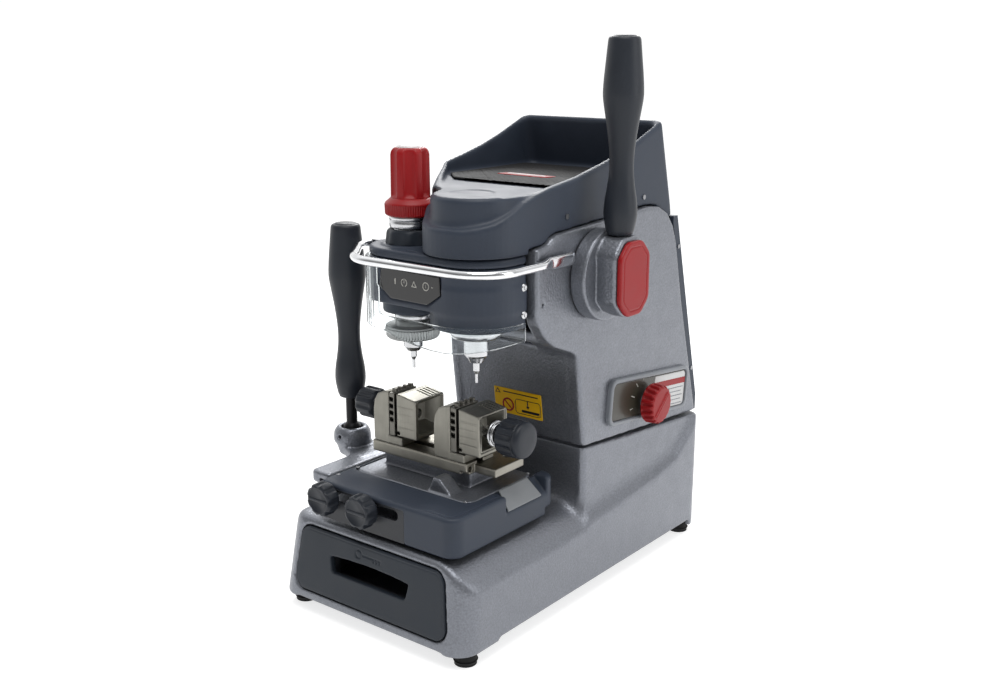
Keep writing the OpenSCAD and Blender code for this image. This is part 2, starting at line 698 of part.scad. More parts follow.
// ------------------------------------------------------------------ head
head_back = -92;
module head_plan(e) {
  intersection() {
    hull() {
      translate([tracer_x, tool_y]) circle(head_r + e, $fn = 96);
      translate([spin_x + 1, tool_y + 1]) circle(42 + e, $fn = 96);
      translate([tracer_x - 30, head_back - 5]) circle(5 + e);
      translate([93, head_back - 5]) circle(5 + e);
    }
    translate([-150, head_back + min(e, 0) - 100]) square([300, 100]);
  }
}
module head_housing() {
  color([0.20, 0.22, 0.26]) difference() {
    union() {
      translate([0, 0, 296]) linear_extrude(deck_z - 8 - 296) head_plan(0);
      // spindle side reaches lower
      translate([0, 0, 281]) linear_extrude(20) intersection() {
        head_plan(0);
        hull() {
          translate([spin_x + 1, tool_y + 1]) circle(42, $fn = 96);
          translate([93, head_back - 5]) circle(5);
          translate([spin_x - 34, head_back - 5]) circle(5);
        }
      }
      // tracer boss
      zcyl(tracer_x, tool_y, 284, 300, 27);
    }
    // flat back of the boss
    block(-60, head_back, 270, 30, -60, 330);
    // inside
    translate([0, 0, 300]) linear_extrude(60) head_plan(-4);
    // bores
    zcyl(tracer_x, tool_y, 270, 350, 16.05);
    zcyl(spin_x, tool_y, 270, 310, 17.05);
  }
}
module head_deck() {
  color([0.20, 0.22, 0.26]) difference() {
    translate([0, 0, deck_z - 8]) linear_extrude(8) head_plan(0);
    zcyl(tracer_x, tool_y, 300, 360, 16.05);
    zcyl(spin_x, tool_y, 300, 360, 17.05);
    block(tracer_x + 22, -141, deck_z - 3, tracer_x + 32, -138, deck_z + 1);
  }
}
module icon_panel() {
  color([0.06, 0.05, 0.05]) intersection() {
    translate([0, 0, 300]) linear_extrude(35) difference() { head_plan(1.2); head_plan(0); }
    xz(-160, -140) polygon([[-21, 329], [48, 329], [49, 313], [34, 303], [-10, 303], [-24, 312]]);
  }
}
module clear_guard() {
  color([0.85, 0.92, 0.95, 0.4]) {
    difference() {
      union() {
        translate([0, 0, 284]) linear_extrude(52) head_plan(4);
        translate([0, 0, 273.5]) linear_extrude(20) intersection() {
          head_plan(4);
          translate([-57, -170]) square([34, 90]);
        }
        // front lip round the two tools
        translate([0, 0, 264]) linear_extrude(22) intersection() {
          head_plan(4);
          translate([-24, -170]) square([130, 40]);
        }
      }
      translate([0, 0, 260]) linear_extrude(90) head_plan(1.6);
      block(-120, head_back - 7, 250, 130, -50, 350);
      block(-14.1, -160, 296, 120, -50, 350);
    }
  }
}
module z_bearing_blocks() {
  color([0.6, 0.61, 0.63])
  for (x = [2, 50]) difference() {
    block(x - 13, head_back, 296, x + 13, -74.5, 334);
    block(x - 6.3, -80.4, 290, x + 6.3, -70, 340);
  }
}
rack_p = 3.14159265*pinion_m;
// bearing blocks on the back of the head, and the rack on its bracket
module head_slide() { z_bearing_blocks(); head_rack(); }
module head_rack() {
  pr = pinion_n*pinion_m/2;
  color([0.7, 0.7, 0.72]) {
    block(70, -40, 290, 79, -pr - 2.2, 340);
    for (i = [-4:3]) translate([70, 0, hub_z + i*rack_p]) 
      rotate([90, 0, 90]) linear_extrude(9)
        polygon([[-pr - 2.6, -1.95 + 3.14], [-pr, -1.25 + 3.14], [-pr + 1.7, -0.6 + 3.14], [-pr + 1.7, 0.6 + 3.14], [-pr, 1.25 + 3.14], [-pr - 2.6, 1.95 + 3.14]]);
    block(70, head_back, 300, 79, -38, 312);
  }
}
// ----------------------------------------------------------- tracer group
module tracer_collar() {
  color([0.18, 0.20, 0.23]) difference() {
    union() {
      translate([tracer_x, tool_y, deck_z]) rotate([0, 0, 22.5]) cylinder(r = 23, h = 9, $fn = 8);
      zcyl(tracer_x, tool_y, deck_z, deck_z + 14, 20.5);
      zcyl(tracer_x, tool_y, 276, deck_z + 15, 16);
      zcyl(tracer_x, tool_y, 276, 283.6, 17);
    }
    zcyl(tracer_x, tool_y, 260, 380, 9.1);
  }
}
module tracer_top_knob() {
  color([0.70, 0.04, 0.07]) difference() {
    union() {
      translate([tracer_x, tool_y, 371]) cylinder(r1 = 22, r2 = 23.5, h = 12);
      translate([tracer_x, tool_y, 383]) cylinder(r1 = 22, r2 = 18, h = 4);
      translate([tracer_x, tool_y, 386]) cylinder(r = 17.5, h = 46);
    }
    for (i = [0:5]) rotate([0, 0, 0]) translate([tracer_x, tool_y, 0]) rotate([0, 0, i*60 + 20])
      translate([19.5, 0, 390]) cylinder(r = 3.4, h = 60, $fn = 24);
    translate([tracer_x, tool_y, 360]) cylinder(r = 15, h = 60);
  }
}
module tracer_ring() {
  color([0.55, 0.56, 0.56]) difference() {
    union() {
      zcyl(tracer_x, tool_y, 259, 271, 25);
      zcyl(tracer_x, tool_y, 271, 275.6, 15.5);
    }
    zcyl(tracer_x, tool_y, 250, 280, 9.1);
  }
}
module tracer_quill() {
  color([0.72, 0.73, 0.74]) {
    zcyl(tracer_x, tool_y, 250, 362, 9);
    translate([tracer_x, tool_y, 362]) cylinder(r = 13.6, h = 56);
    translate([tracer_x, tool_y, 246]) cylinder(r1 = 6, r2 = 9, h = 4);
    zcyl(tracer_x, tool_y, 240, 247, 3);
    translate([tracer_x, tool_y, 237]) cylinder(r1 = 1.5, r2 = 3, h = 3);
    zcyl(tracer_x, tool_y, 229, 238, 1.5);
  }
}
// ---------------------------------------------------------- spindle group
module spindle_nose() {
  color([0.70, 0.71, 0.72]) translate([spin_x, tool_y, 0]) rotate_extrude()
    polygon([[8.1, 268.6], [16, 268.6], [22, 271], [25, 275], [25, 280.6], [17, 280.6],
             [17, 304], [8.1, 304]]);
}
module spindle_shaft() {
  color([0.74, 0.74, 0.75]) {
    translate([spin_x, tool_y, 0]) rotate_extrude() polygon([[0, 247], [6, 247], [8.5, 252], [11, 254], [11, 268],
      [8, 268], [8, 380], [0, 380]]);
  }
}
module cutter() {
  color([0.62, 0.62, 0.63]) translate([spin_x, tool_y, 0]) {
    translate([0, 0, 239]) cylinder(r = 3, h = 8);
    translate([0, 0, 236]) cylinder(r1 = 1.25, r2 = 3, h = 3);
    translate([0, 0, 228]) cylinder(r = 1.25, h = 8.5);
  }
}
module pulley(r, b) {
  difference() {
    union() {
      cylinder(r = r, h = 12);
      cylinder(r = r + 2.5, h = 1.5);
      translate([0, 0, 10.5]) cylinder(r = r + 2.5, h = 1.5);
    }
    translate([0, 0, -1]) cylinder(r = b, h = 20);
  }
}
belt_z = 356;
module spindle_pulley() {
  color([0.7, 0.7, 0.72]) translate([spin_x, tool_y, belt_z]) pulley(18, 8.05);
}
motor_x = 5;
motor_y = 45;
module motor_pulley() {
  color([0.7, 0.7, 0.72]) {
    translate([motor_x, motor_y, belt_z]) pulley(24, 3.9);
    zcyl(motor_x, motor_y, 348, belt_z + 14, 4);
  }
}
module motor() {
  color([0.30, 0.31, 0.33]) difference() {
    union() {
      zcyl(motor_x, motor_y, arm_z0 + 8, 344, 34);
      zcyl(motor_x, motor_y, 344, 348, 14);
    }
    zcyl(motor_x, motor_y, 347, 350, 5);
  }
}
module belt_outline(e) {
  hull() {
    translate([motor_x, motor_y]) circle(24.3 + e, $fn = 72);
    translate([spin_x, tool_y]) circle(18.3 + e, $fn = 72);
  }
}
module drive_belt() {
  color([0.06, 0.06, 0.06]) translate([0, 0, belt_z + 2]) linear_extrude(8) difference() {
    belt_outline(1.4);
    belt_outline(0);
  }
}
// ------------------------------------------------------------- rear bits
// local frame on the leaning back, y = 0 on its outer face
module back_local(x, z) {
  translate([x, 204 - (z - 152)*0.2675, z]) rotate([14.97, 0, 0]) children();
}
module power_inlet() {
  color([0.05, 0.05, 0.05]) back_local(-20, 190) difference() {
    union() {
      xz(0.1, 2.2) rr(-13, -13, 13, 13, 3);
      ycyl(-13, 1, 0, 0, 9.4);
    }
    ycyl(-10, 5, 0, 0, 5.5);
  }
}
module rocker_switch() {
  color([0.6, 0.05, 0.06]) back_local(24, 190)
    yz(-6.5, 6.5) polygon([[-9, -9], [0.5, -9.6], [3.6, -9.2], [1.6, 0], [2.2, 9.2], [-1, 9.6], [-9, 7]]);
}

place() base_casting();
place() rubber_feet();
place() drawer_tray();
place() drawer_front();
place() column_casting();
place() rear_cover();
place() arm_casting();
place() upper_cover();
place() storage_mat();
place() bumper_bar();
place() cover_screws();
place() control_panel();
place() selector_knob();
place() linear_rails();
place() pivot_bracket();
place() motor();
place() motor_pulley();
place() drive_belt();
place() spindle_pulley();
place() power_inlet();
place() rocker_switch();
place() return_spring();
place() y_bearing_blocks();
place() saddle();
place() x_rails();
place() x_bearing_blocks();
place() x_carriage();
place() table_cover();
place() table_front_plate();
place() vise_bed();
place() left_vise_body();
place() right_vise_body();
place() jaw_inserts();
place() left_moving_jaw();
place() right_moving_jaw();
place() left_clamp_screw();
place() right_clamp_screw();
place() left_clamp_knob();
place() right_clamp_knob();
place() x_lock_knob();
place() y_lock_knob();
place() joystick_cross();
place() joystick_rod();
place() joystick_grip();
place() z_hub();
place() z_hub_cap();
place() z_lever_grip();
place() pinion_shaft();
place() head_housing();
place() head_deck();
place() icon_panel();
place() clear_guard();
place() head_slide();
place() tracer_collar();
place() tracer_top_knob();
place() tracer_ring();
place() tracer_quill();
place() spindle_shaft();
place() cutter();
place() spindle_nose();
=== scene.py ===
import bpy, bmesh, math
import numpy as np
from mathutils import Vector, Matrix


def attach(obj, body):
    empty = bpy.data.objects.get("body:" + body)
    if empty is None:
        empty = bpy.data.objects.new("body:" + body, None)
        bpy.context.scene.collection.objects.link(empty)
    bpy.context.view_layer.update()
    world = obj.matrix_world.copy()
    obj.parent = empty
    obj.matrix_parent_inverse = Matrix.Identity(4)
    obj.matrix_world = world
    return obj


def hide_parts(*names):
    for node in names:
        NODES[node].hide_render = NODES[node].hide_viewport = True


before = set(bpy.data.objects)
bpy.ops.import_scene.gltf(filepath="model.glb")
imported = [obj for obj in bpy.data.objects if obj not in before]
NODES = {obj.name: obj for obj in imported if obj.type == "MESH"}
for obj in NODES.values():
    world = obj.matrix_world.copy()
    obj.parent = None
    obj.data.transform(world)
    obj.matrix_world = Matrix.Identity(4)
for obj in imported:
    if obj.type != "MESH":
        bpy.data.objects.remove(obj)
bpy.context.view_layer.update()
MX, MY = 8.25, -2.5            # middle of the machine in plan, in millimetres
COL = bpy.context.scene.collection


def row(x, y, z):
    """machine millimetres to row-frame metres"""
    return Vector(((x - MX) / 1000, (y - MY) / 1000, z / 1000))


# ------------------------------------------------------------------ materials
def srgb(r, g, b):
    return tuple(((c / 255) / 12.92 if c / 255 <= 0.04045 else ((c / 255 + 0.055) / 1.055) ** 2.4) for c in (r, g, b)) + (1.0,)


class Mat:
    """a Principled material with procedural colour, roughness and bump"""

    def __init__(s, name, color, rough=0.5, metal=0.0, spec=0.5, coat=0.0, coat_rough=0.1, trans=0.0, ior=1.5):
        s.m = bpy.data.materials.new(name)
        s.m.use_nodes = True
        s.t = s.m.node_tree
        s.b = s.t.nodes["Principled BSDF"]
        s.b.inputs["Base Color"].default_value = color
        s.b.inputs["Roughness"].default_value = rough
        s.b.inputs["Metallic"].default_value = metal
        s.b.inputs["Specular IOR Level"].default_value = spec
        s.b.inputs["Coat Weight"].default_value = coat
        s.b.inputs["Coat Roughness"].default_value = coat_rough
        s.b.inputs["Transmission Weight"].default_value = trans
        s.b.inputs["IOR"].default_value = ior
        s.color, s.rough = color, rough
        s.co = s.t.nodes.new("ShaderNodeTexCoord").outputs["Object"]
        s.normal = None

    def node(s, kind, **values):
        n = s.t.nodes.new(kind)
        for k, v in values.items():
            if k in n.inputs:
                n.inputs[k].default_value = v
            else:
                setattr(n, k, v)
        return n

    def link(s, a, b):
        s.t.links.new(a, b)

    def noise(s, scale, detail=3.0, rough=0.55, stretch=None, dist=0.0):
        n = s.node("ShaderNodeTexNoise", Scale=scale, Detail=detail, Roughness=rough, Distortion=dist)
        if stretch:
            mp = s.node("ShaderNodeMapping", Scale=stretch)
            s.link(s.co, mp.inputs["Vector"])
            s.link(mp.outputs["Vector"], n.inputs["Vector"])
        else:
            s.link(s.co, n.inputs["Vector"])
        return n.outputs["Fac"]

    def voronoi(s, scale, feature="F1", rand=1.0):
        n = s.node("ShaderNodeTexVoronoi", Scale=scale, Randomness=rand)
        n.feature = feature
        s.link(s.co, n.inputs["Vector"])
        return n.outputs["Distance"]

    def ramp(s, fac, stops):
        n = s.node("ShaderNodeValToRGB")
        el = n.color_ramp.elements
        el[0].position, el[0].color = stops[0]
        el[1].position, el[1].color = stops[-1]
        for p, c in stops[1:-1]:
            e = el.new(p)
            e.color = c
        s.link(fac, n.inputs["Fac"])
        return n.outputs["Color"]

    def vary(s, fac, low=0.9, high=1.1):
        """colour variation between low and high times the base colour"""
        a = tuple(c * low for c in s.color[:3]) + (1,)
        b = tuple(min(1, c * high) for c in s.color[:3]) + (1,)
        s.link(s.ramp(fac, [(0.3, a), (0.7, b)]), s.b.inputs["Base Color"])

    def rvary(s, fac, lo, hi):
        n = s.node("ShaderNodeMapRange")
        n.inputs["From Min"].default_value, n.inputs["From Max"].default_value = 0.3, 0.7
        n.inputs["To Min"].default_value, n.inputs["To Max"].default_value = lo, hi
        s.link(fac, n.inputs["Value"])
        s.link(n.outputs["Result"], s.b.inputs["Roughness"])

    def bump(s, height, strength, dist):
        n = s.node("ShaderNodeBump", Strength=strength, Distance=dist)
        s.link(height, n.inputs["Height"])
        if s.normal:
            s.link(s.normal, n.inputs["Normal"])
        s.normal = n.outputs["Normal"]
        s.link(s.normal, s.b.inputs["Normal"])


MATS = {}


def keep(key, mat):
    MATS[key] = mat.m
    return mat


def hammered(name, color, metal=0.55, rough=0.42):
    """fine hammered metallic paint over a casting"""
    m = Mat(name, color, rough, metal, 0.5, 0.12, 0.25)
    fine = m.noise(620, 2.0, 0.6)
    cells = m.voronoi(480, "SMOOTH_F1")
    mid = m.noise(60, 3.0, 0.5)
    m.vary(fine, 0.86, 1.14)
    m.rvary(mid, rough - 0.05, rough + 0.06)
    m.bump(cells, 0.35, 0.0008)
    m.bump(fine, 0.22, 0.0004)
    return m


def plastic(name, color, rough=0.45, grain=900, strength=0.10, coat=0.0):
    """moulded or satin painted plastic with a fine grain"""
    m = Mat(name, color, rough, 0.0, 0.32, coat, 0.15)
    g = m.noise(grain, 2.0, 0.6)
    s = m.noise(35, 3.0, 0.5)
    m.vary(s, 0.94, 1.07)
    m.rvary(s, rough - 0.04, rough + 0.05)
    m.bump(g, strength, 0.0003)
    return m


def steel(name, color, rough=0.28, stretch=(40, 40, 1400), strength=0.08, metal=1.0):
    """ground or turned steel; the scratches run across the stretched axis"""
    m = Mat(name, color, rough, metal, 0.5)
    br = m.noise(1.0, 3.0, 0.6, stretch)
    sp = m.noise(70, 3.0, 0.5)
    m.vary(sp, 0.92, 1.06)
    m.rvary(br, rough - 0.06, rough + 0.09)
    m.bump(br, strength, 0.0002)
    return m


keep("cast", hammered("cast_hammered_grey", srgb(122, 125, 132), 0.72, 0.38))
keep("cast_dark", hammered("cast_hammered_inner", srgb(100, 103, 110), 0.4, 0.5))
keep("cover", plastic("cover_blue_grey", srgb(48, 55, 67), 0.48, 700, 0.12))
keep("cover2", plastic("drawer_blue_grey", srgb(38, 44, 52), 0.48, 700, 0.12))
keep("plate", plastic("front_plate_dark", srgb(44, 46, 50), 0.4, 900, 0.10))
keep("black", plastic("black_plastic", srgb(24, 24, 26), 0.35, 900, 0.08))
keep("rubber", plastic("rubber_black", srgb(22, 22, 23), 0.75, 500, 0.25))
keep("grip", plastic("grip_black_blue", srgb(34, 38, 45), 0.42, 800, 0.12))
keep("red", plastic("red_plastic", srgb(140, 8, 14), 0.40, 700, 0.08))
keep("ground", steel("ground_steel", srgb(196, 197, 200), 0.24))
keep("turned", steel("turned_steel", srgb(205, 206, 208), 0.22, (30, 30, 2600)))
keep("chrome", steel("polished_bar", srgb(225, 226, 228), 0.10, (1200, 60, 60), 0.02))
keep("nickel", steel("satin_nickel", srgb(140, 138, 130), 0.42, (1300, 50, 50), 0.10))
keep("screw", steel("screw_steel", srgb(150, 151, 154), 0.3, (400, 400, 40), 0.05))
keep("alu", steel("pulley_aluminium", srgb(190, 191, 195), 0.3, (30, 30, 2200)))
keep("rod", steel("black_oxide", srgb(34, 34, 36), 0.33, (30, 30, 900), 0.05, 0.8))
keep("tray_steel", steel("drawer_tray_steel", srgb(96, 98, 104), 0.45, (900, 40, 40), 0.06, 0.7))
keep("gloss", plastic("gloss_black", srgb(10, 10, 11), 0.12, 300, 0.02, 0.5))
keep("mark", plastic("mark_white", srgb(168, 166, 160), 0.4, 900, 0.02))
keep("greyplate", plastic("blank_plate_grey", srgb(128, 131, 134), 0.48, 900, 0.12))
keep("bezel", plastic("bezel_grey", srgb(120, 124, 130), 0.30, 700, 0.05, 0.2))
keep("oliveblack", plastic("label_olive", srgb(52, 50, 42), 0.30, 700, 0.04, 0.3))
keep("labelwhite", plastic("label_white", srgb(196, 196, 196), 0.35, 900, 0.03))
keep("capwhite", plastic("cap_pale", srgb(205, 200, 200), 0.12, 300, 0.02, 0.6))
keep("knurled", steel("knurled_ring", srgb(150, 152, 152), 0.36, (500, 500, 40), 0.06))
keep("nickel_dark", steel("nickel_insert", srgb(118, 116, 110), 0.42, (1200, 50, 50), 0.10))
keep("bed", steel("bed_nickel", srgb(150, 147, 138), 0.38, (1300, 50, 50), 0.10))
keep("yellow", plastic("plate_yellow", srgb(226, 176, 10), 0.4, 900, 0.03))
g = Mat("clear_acrylic", (0.93, 0.97, 0.98, 1), 0.03, 0, 0.5, 0.0, 0.1, 1.0, 1.2)
g.bump(g.noise(45, 2.0), 0.02, 0.0002)
g.rvary(g.noise(220, 3.0), 0.02, 0.05)
keep("acrylic", g)

LOOK = {
    "base_casting": "cast", "column_casting": "cast", "arm_casting": "cast", "saddle": "cast_dark", "x_carriage": "cast",
    "z_hub": "cast", "rubber_feet": "rubber", "storage_mat": "rubber", "drive_belt": "rubber",
    "drawer_front": "cover2", "rear_cover": "cover", "upper_cover": "cover", "table_cover": "cover", "head_housing": "cover",
    "head_deck": "cover", "tracer_collar": "cover2", "table_front_plate": "plate", "drawer_tray": "tray_steel",
    "pivot_bracket": "plate", "motor": "plate", "bumper_bar": "chrome", "cover_screws": "screw", "control_panel": "black",
    "icon_panel": "black", "power_inlet": "black", "selector_knob": "red", "tracer_top_knob": "red", "z_hub_cap": "red",
    "rocker_switch": "red", "linear_rails": "ground", "x_rails": "ground", "y_bearing_blocks": "ground",
    "x_bearing_blocks": "ground", "head_slide": "ground", "joystick_cross": "ground", "pinion_shaft": "turned",
    "return_spring": "ground", "spindle_shaft": "turned", "cutter": "turned", "spindle_nose": "turned",
    "tracer_quill": "turned", "tracer_ring": "turned", "left_clamp_screw": "turned", "right_clamp_screw": "turned",
    "spindle_pulley": "alu", "motor_pulley": "alu", "vise_bed": "nickel", "left_vise_body": "nickel",
    "right_vise_body": "nickel", "jaw_inserts": "nickel", "left_moving_jaw": "nickel", "right_moving_jaw": "nickel",
    "left_clamp_knob": "grip", "right_clamp_knob": "grip", "x_lock_knob": "grip", "y_lock_knob": "grip",
    "joystick_grip": "grip", "z_lever_grip": "grip", "joystick_rod": "rod", "clear_guard": "acrylic",
}
for n, o in NODES.items():
    o.data.materials.clear()
    o.data.materials.append(MATS[LOOK[n]])
    for p in o.data.polygons:
        p.use_smooth = False


# ------------------------------------------------------------- solid modelling
# Shells are modelled as signed distance fields on a grid, in machine
# millimetres, so castings and mouldings get true fillets and soft edges.
class Grid:
    def __init__(s, lo, hi, h):
        s.lo, s.h = np.array(lo, float), h
        n = [int(math.ceil((b - a) / h)) + 1 for a, b in zip(lo, hi)]
        ax = [np.float32(lo[i]) + np.float32(h) * np.arange(n[i], dtype=np.float32) for i in range(3)]
        s.X, s.Y, s.Z = ax[0][:, None, None], ax[1][None, :, None], ax[2][None, None, :]
        s.shape = tuple(n)


def poly(px, py, pts):
    """signed distance to a polygon"""
    d = np.full(np.broadcast(px, py).shape, 1e9, np.float32)
    sg = np.ones(d.shape, np.float32)
    for i in range(len(pts)):
        ax, ay = pts[i]
        bx, by = pts[i - 1]
        ex, ey = bx - ax, by - ay
        wx, wy = px - ax, py - ay
        t = np.clip((wx * ex + wy * ey) / (ex * ex + ey * ey), 0, 1)
        d = np.minimum(d, (wx - ex * t) ** 2 + (wy - ey * t) ** 2)
        c1, c2, c3 = py >= ay, py < by, ex * wy > ey * wx
        sg = np.where((c1 & c2 & c3) | (~c1 & ~c2 & ~c3), -sg, sg)
    return sg * np.sqrt(d)


def circ(px, py, cx, cy, r):
    return np.sqrt((px - cx) ** 2 + (py - cy) ** 2) - r


def hull2(px, py, circles):
    """signed distance to the hull of some circles, by its outline"""
    pts = []
    for cx, cy, r in circles:
        for k in range(48):
            a = 2 * math.pi * k / 48
            pts.append((cx + r * math.cos(a), cy + r * math.sin(a)))
    pts = sorted(set(pts))

    def half(ps):
        out = []
        for p in ps:
            while len(out) >= 2 and (out[-1][0] - out[-2][0]) * (p[1] - out[-2][1]) - (out[-1][1] - out[-2][1]) * (p[0] - out[-2][0]) <= 0:
                out.pop()
            out.append(p)
        return out[:-1]
    return poly(px, py, half(pts) + half(pts[::-1]))


def slab(v, a, b):
    return np.abs(v - (a + b) / 2) - (b - a) / 2


def ext(d2, w, r=0.0):
    """extrusion of a 2D field by a slab field, with its rim rounded by r"""
    a, b = d2 + r, w + r
    return np.minimum(np.maximum(a, b), 0) + np.sqrt(np.maximum(a, 0) ** 2 + np.maximum(b, 0) ** 2) - r


def smin(a, b, k):
    if k <= 0:
        return np.minimum(a, b)
    h = np.maximum(k - np.abs(a - b), 0) / k
    return np.minimum(a, b) - h * h * k * 0.25


def smax(a, b, k):
    return -smin(-a, -b, k)


def rbox(g, lo, hi, r):
    q = [np.abs(v - (a + b) / 2) - (b - a) / 2 + r for v, a, b in zip((g.X, g.Y, g.Z), lo, hi)]
    out = np.sqrt(np.maximum(q[0], 0) ** 2 + np.maximum(q[1], 0) ** 2 + np.maximum(q[2], 0) ** 2)
    return out + np.minimum(np.maximum(q[0], np.maximum(q[1], q[2])), 0) - r


def nets(F, g):
    """closed quad mesh on the field's zero surface"""
    S = F < 0
    sh = [n - 1 for n in F.shape]
    c = np.zeros(sh, np.int8)
    for i in (0, 1):
        for j in (0, 1):
            for k in (0, 1):
                c += S[i:i + sh[0], j:j + sh[1], k:k + sh[2]]
    mask = (c > 0) & (c < 8)
    idx = np.full(sh, -1, np.int32)
    n = int(mask.sum())
    idx[mask] = np.arange(n, dtype=np.int32)
    I = np.stack(np.nonzero(mask), 1)
    acc, cnt = np.zeros((n, 3)), np.zeros(n)
    for ax in range(3):
        u = np.eye(3, dtype=int)[ax]
        o1, o2 = [np.eye(3, dtype=int)[(ax + 1) % 3], np.eye(3, dtype=int)[(ax + 2) % 3]]
        for a in (0, 1):
            for b in (0, 1):
                p = I + a * o1 + b * o2
                q = p + u
                f0 = F[p[:, 0], p[:, 1], p[:, 2]]
                f1 = F[q[:, 0], q[:, 1], q[:, 2]]
                cr = (f0 < 0) != (f1 < 0)
                t = np.where(cr, f0 / np.where(cr, f0 - f1, 1), 0)
                acc += np.where(cr[:, None], p + t[:, None] * u, 0)
                cnt += cr
    V = g.lo + g.h * acc / cnt[:, None]
    quads = []
    for ax in range(3):
        a1, a2 = (ax + 1) % 3, (ax + 2) % 3
        s0 = [slice(None)] * 3
        s1 = [slice(None)] * 3
        s0[ax], s1[ax] = slice(0, -1), slice(1, None)
        for a in (a1, a2):
            s0[a] = s1[a] = slice(1, -1)
        A, B = S[tuple(s0)], S[tuple(s1)]
        for flip in (False, True):
            m = (A & ~B) if not flip else (~A & B)
            P = np.stack(np.nonzero(m), 1)
            P[:, a1] += 1
            P[:, a2] += 1
            e1, e2 = np.eye(3, dtype=int)[a1], np.eye(3, dtype=int)[a2]
            cs = [P - e1 - e2, P - e2, P, P - e1]
            q = np.stack([idx[x[:, 0], x[:, 1], x[:, 2]] for x in cs], 1)
            quads.append(q if not flip else q[:, ::-1])
    return V, np.concatenate(quads)


def solid(name, F, g, body, mat, replaces=(), smooth=True):
    V, Q = nets(np.ascontiguousarray(np.broadcast_to(F, g.shape), dtype=np.float32), g)
    V = (V - np.array([MX, MY, 0])) / 1000
    me = bpy.data.meshes.new(name)
    me.vertices.add(len(V))
    me.vertices.foreach_set("co", V.astype(np.float32).ravel())
    me.loops.add(len(Q) * 4)
    me.loops.foreach_set("vertex_index", Q.astype(np.int32).ravel())
    me.polygons.add(len(Q))
    me.polygons.foreach_set("loop_start", np.arange(0, len(Q) * 4, 4, dtype=np.int32))
    me.polygons.foreach_set("use_smooth", np.full(len(Q), smooth))
    me.update(calc_edges=True)
    me.validate()
    return piece(name, me, body, mat, replaces)


def piece(name, me, body, mat, replaces=()):
    o = bpy.data.objects.new(name, me)
    COL.objects.link(o)
    me.materials.append(MATS[mat] if isinstance(mat, str) else mat)
    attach(o, body)
    if replaces:
        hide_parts(*replaces)
    return o

# ------------------------------------------------------------- base casting
def lin(v, xs, ys):
    return np.interp(v, xs, ys).astype(np.float32)


def seam(y):
    return 152 - 0.081 * (y + 14)


def drawer_local(g):
    a = math.radians(-7.1)
    yy = (g.Y + 205.5) * math.cos(a) + g.Z * math.sin(a)
    zz = -(g.Y + 205.5) * math.sin(a) + g.Z * math.cos(a)
    return yy, zz


def make_base():
    g = Grid((-118, -207, 8), (118, 207, 160), 1.6)
    X, Y, Z = g.X, g.Y, g.Z
    xl = -115 + 8 * (Z - 12) / 78
    yf = -204 + 10 * (Z - 12) / 80
    qx = np.abs(X - (xl + 115) / 2) - (115 - xl) / 2 + 22
    qy = np.abs(Y - (yf + 204) / 2) - (204 - yf) / 2 + 22
    plan = np.sqrt(np.maximum(qx, 0) ** 2 + np.maximum(qy, 0) ** 2) + np.minimum(np.maximum(qx, qy), 0) - 22
    zc = lin(Y, [-204, -63, 3, 105, 148, 194, 204], [69.5, 70, 74.5, 83, 91, 125, 131])
    shoulder = zc + (115 - X) * 0.93
    top = smin(np.float32(92), shoulder, 16)
    top = top - 4 * np.clip((-94 - X) / 14, 0, 1) ** 2
    wall = smax(plan, 12 - Z, 2.5)
    F = smax(wall, (Z - top) * 0.72, 7)
    # flare that rises to the column's foot at the back right
    flare = smax(smax(plan, (Z - np.minimum(shoulder, 139)) * 0.72, 3), np.maximum(60 - X, 40 - Y), 12)
    F = smin(F, flare, 3)
    st = poly(X, Y, [(-42, -8), (100, -8), (104, 194), (-42, 194)]) - 6
    st = smax(st, (Z - (seam(Y) - 1.9)), 1.0)
    st = smax(st, 60 - Z, 1)
    F = smin(F, st, 15)
    F = smax(F, Z - seam(Y) + 1.9, 1.0)
    F = smax(F, plan, 2)
    # open underside, stub hollow, drawer mouth and its recess
    F = smax(F, -rbox(g, (-97, -184, -20), (97, 192, 84), 5), 2)
    F = np.maximum(F, -ext(poly(X, Y, [(-40, -4), (90, -4), (90, 184), (-40, 184)]), slab(Z, 70, 170), 3))
    F = np.maximum(F, -rbox(g, (-84, -230, 22), (84, -160, 80), 2))
    yy, zz = drawer_local(g)
    outl = hull2(X, zz, [(-81, 35, 12.9), (81, 35, 12.9), (-76, 73, 12.9), (76, 73, 12.9)])
    F = smax(F, -ext(outl, slab(yy, -20, 6.4), 0.5), 2.2)
    # raised bottom edge between the pads
    arch = smin(np.abs(Y - 15) - 168, np.float32(1e3), 0)
    F = smax(F, -smax(arch, Z - 15.4, 6), 1.5)
    F = smax(F, -smax(np.abs(X) - 92, Z - 13.6, 6), 1.5)
    return solid("base_shell", F, g, "frame", "cast", ["base_casting"])


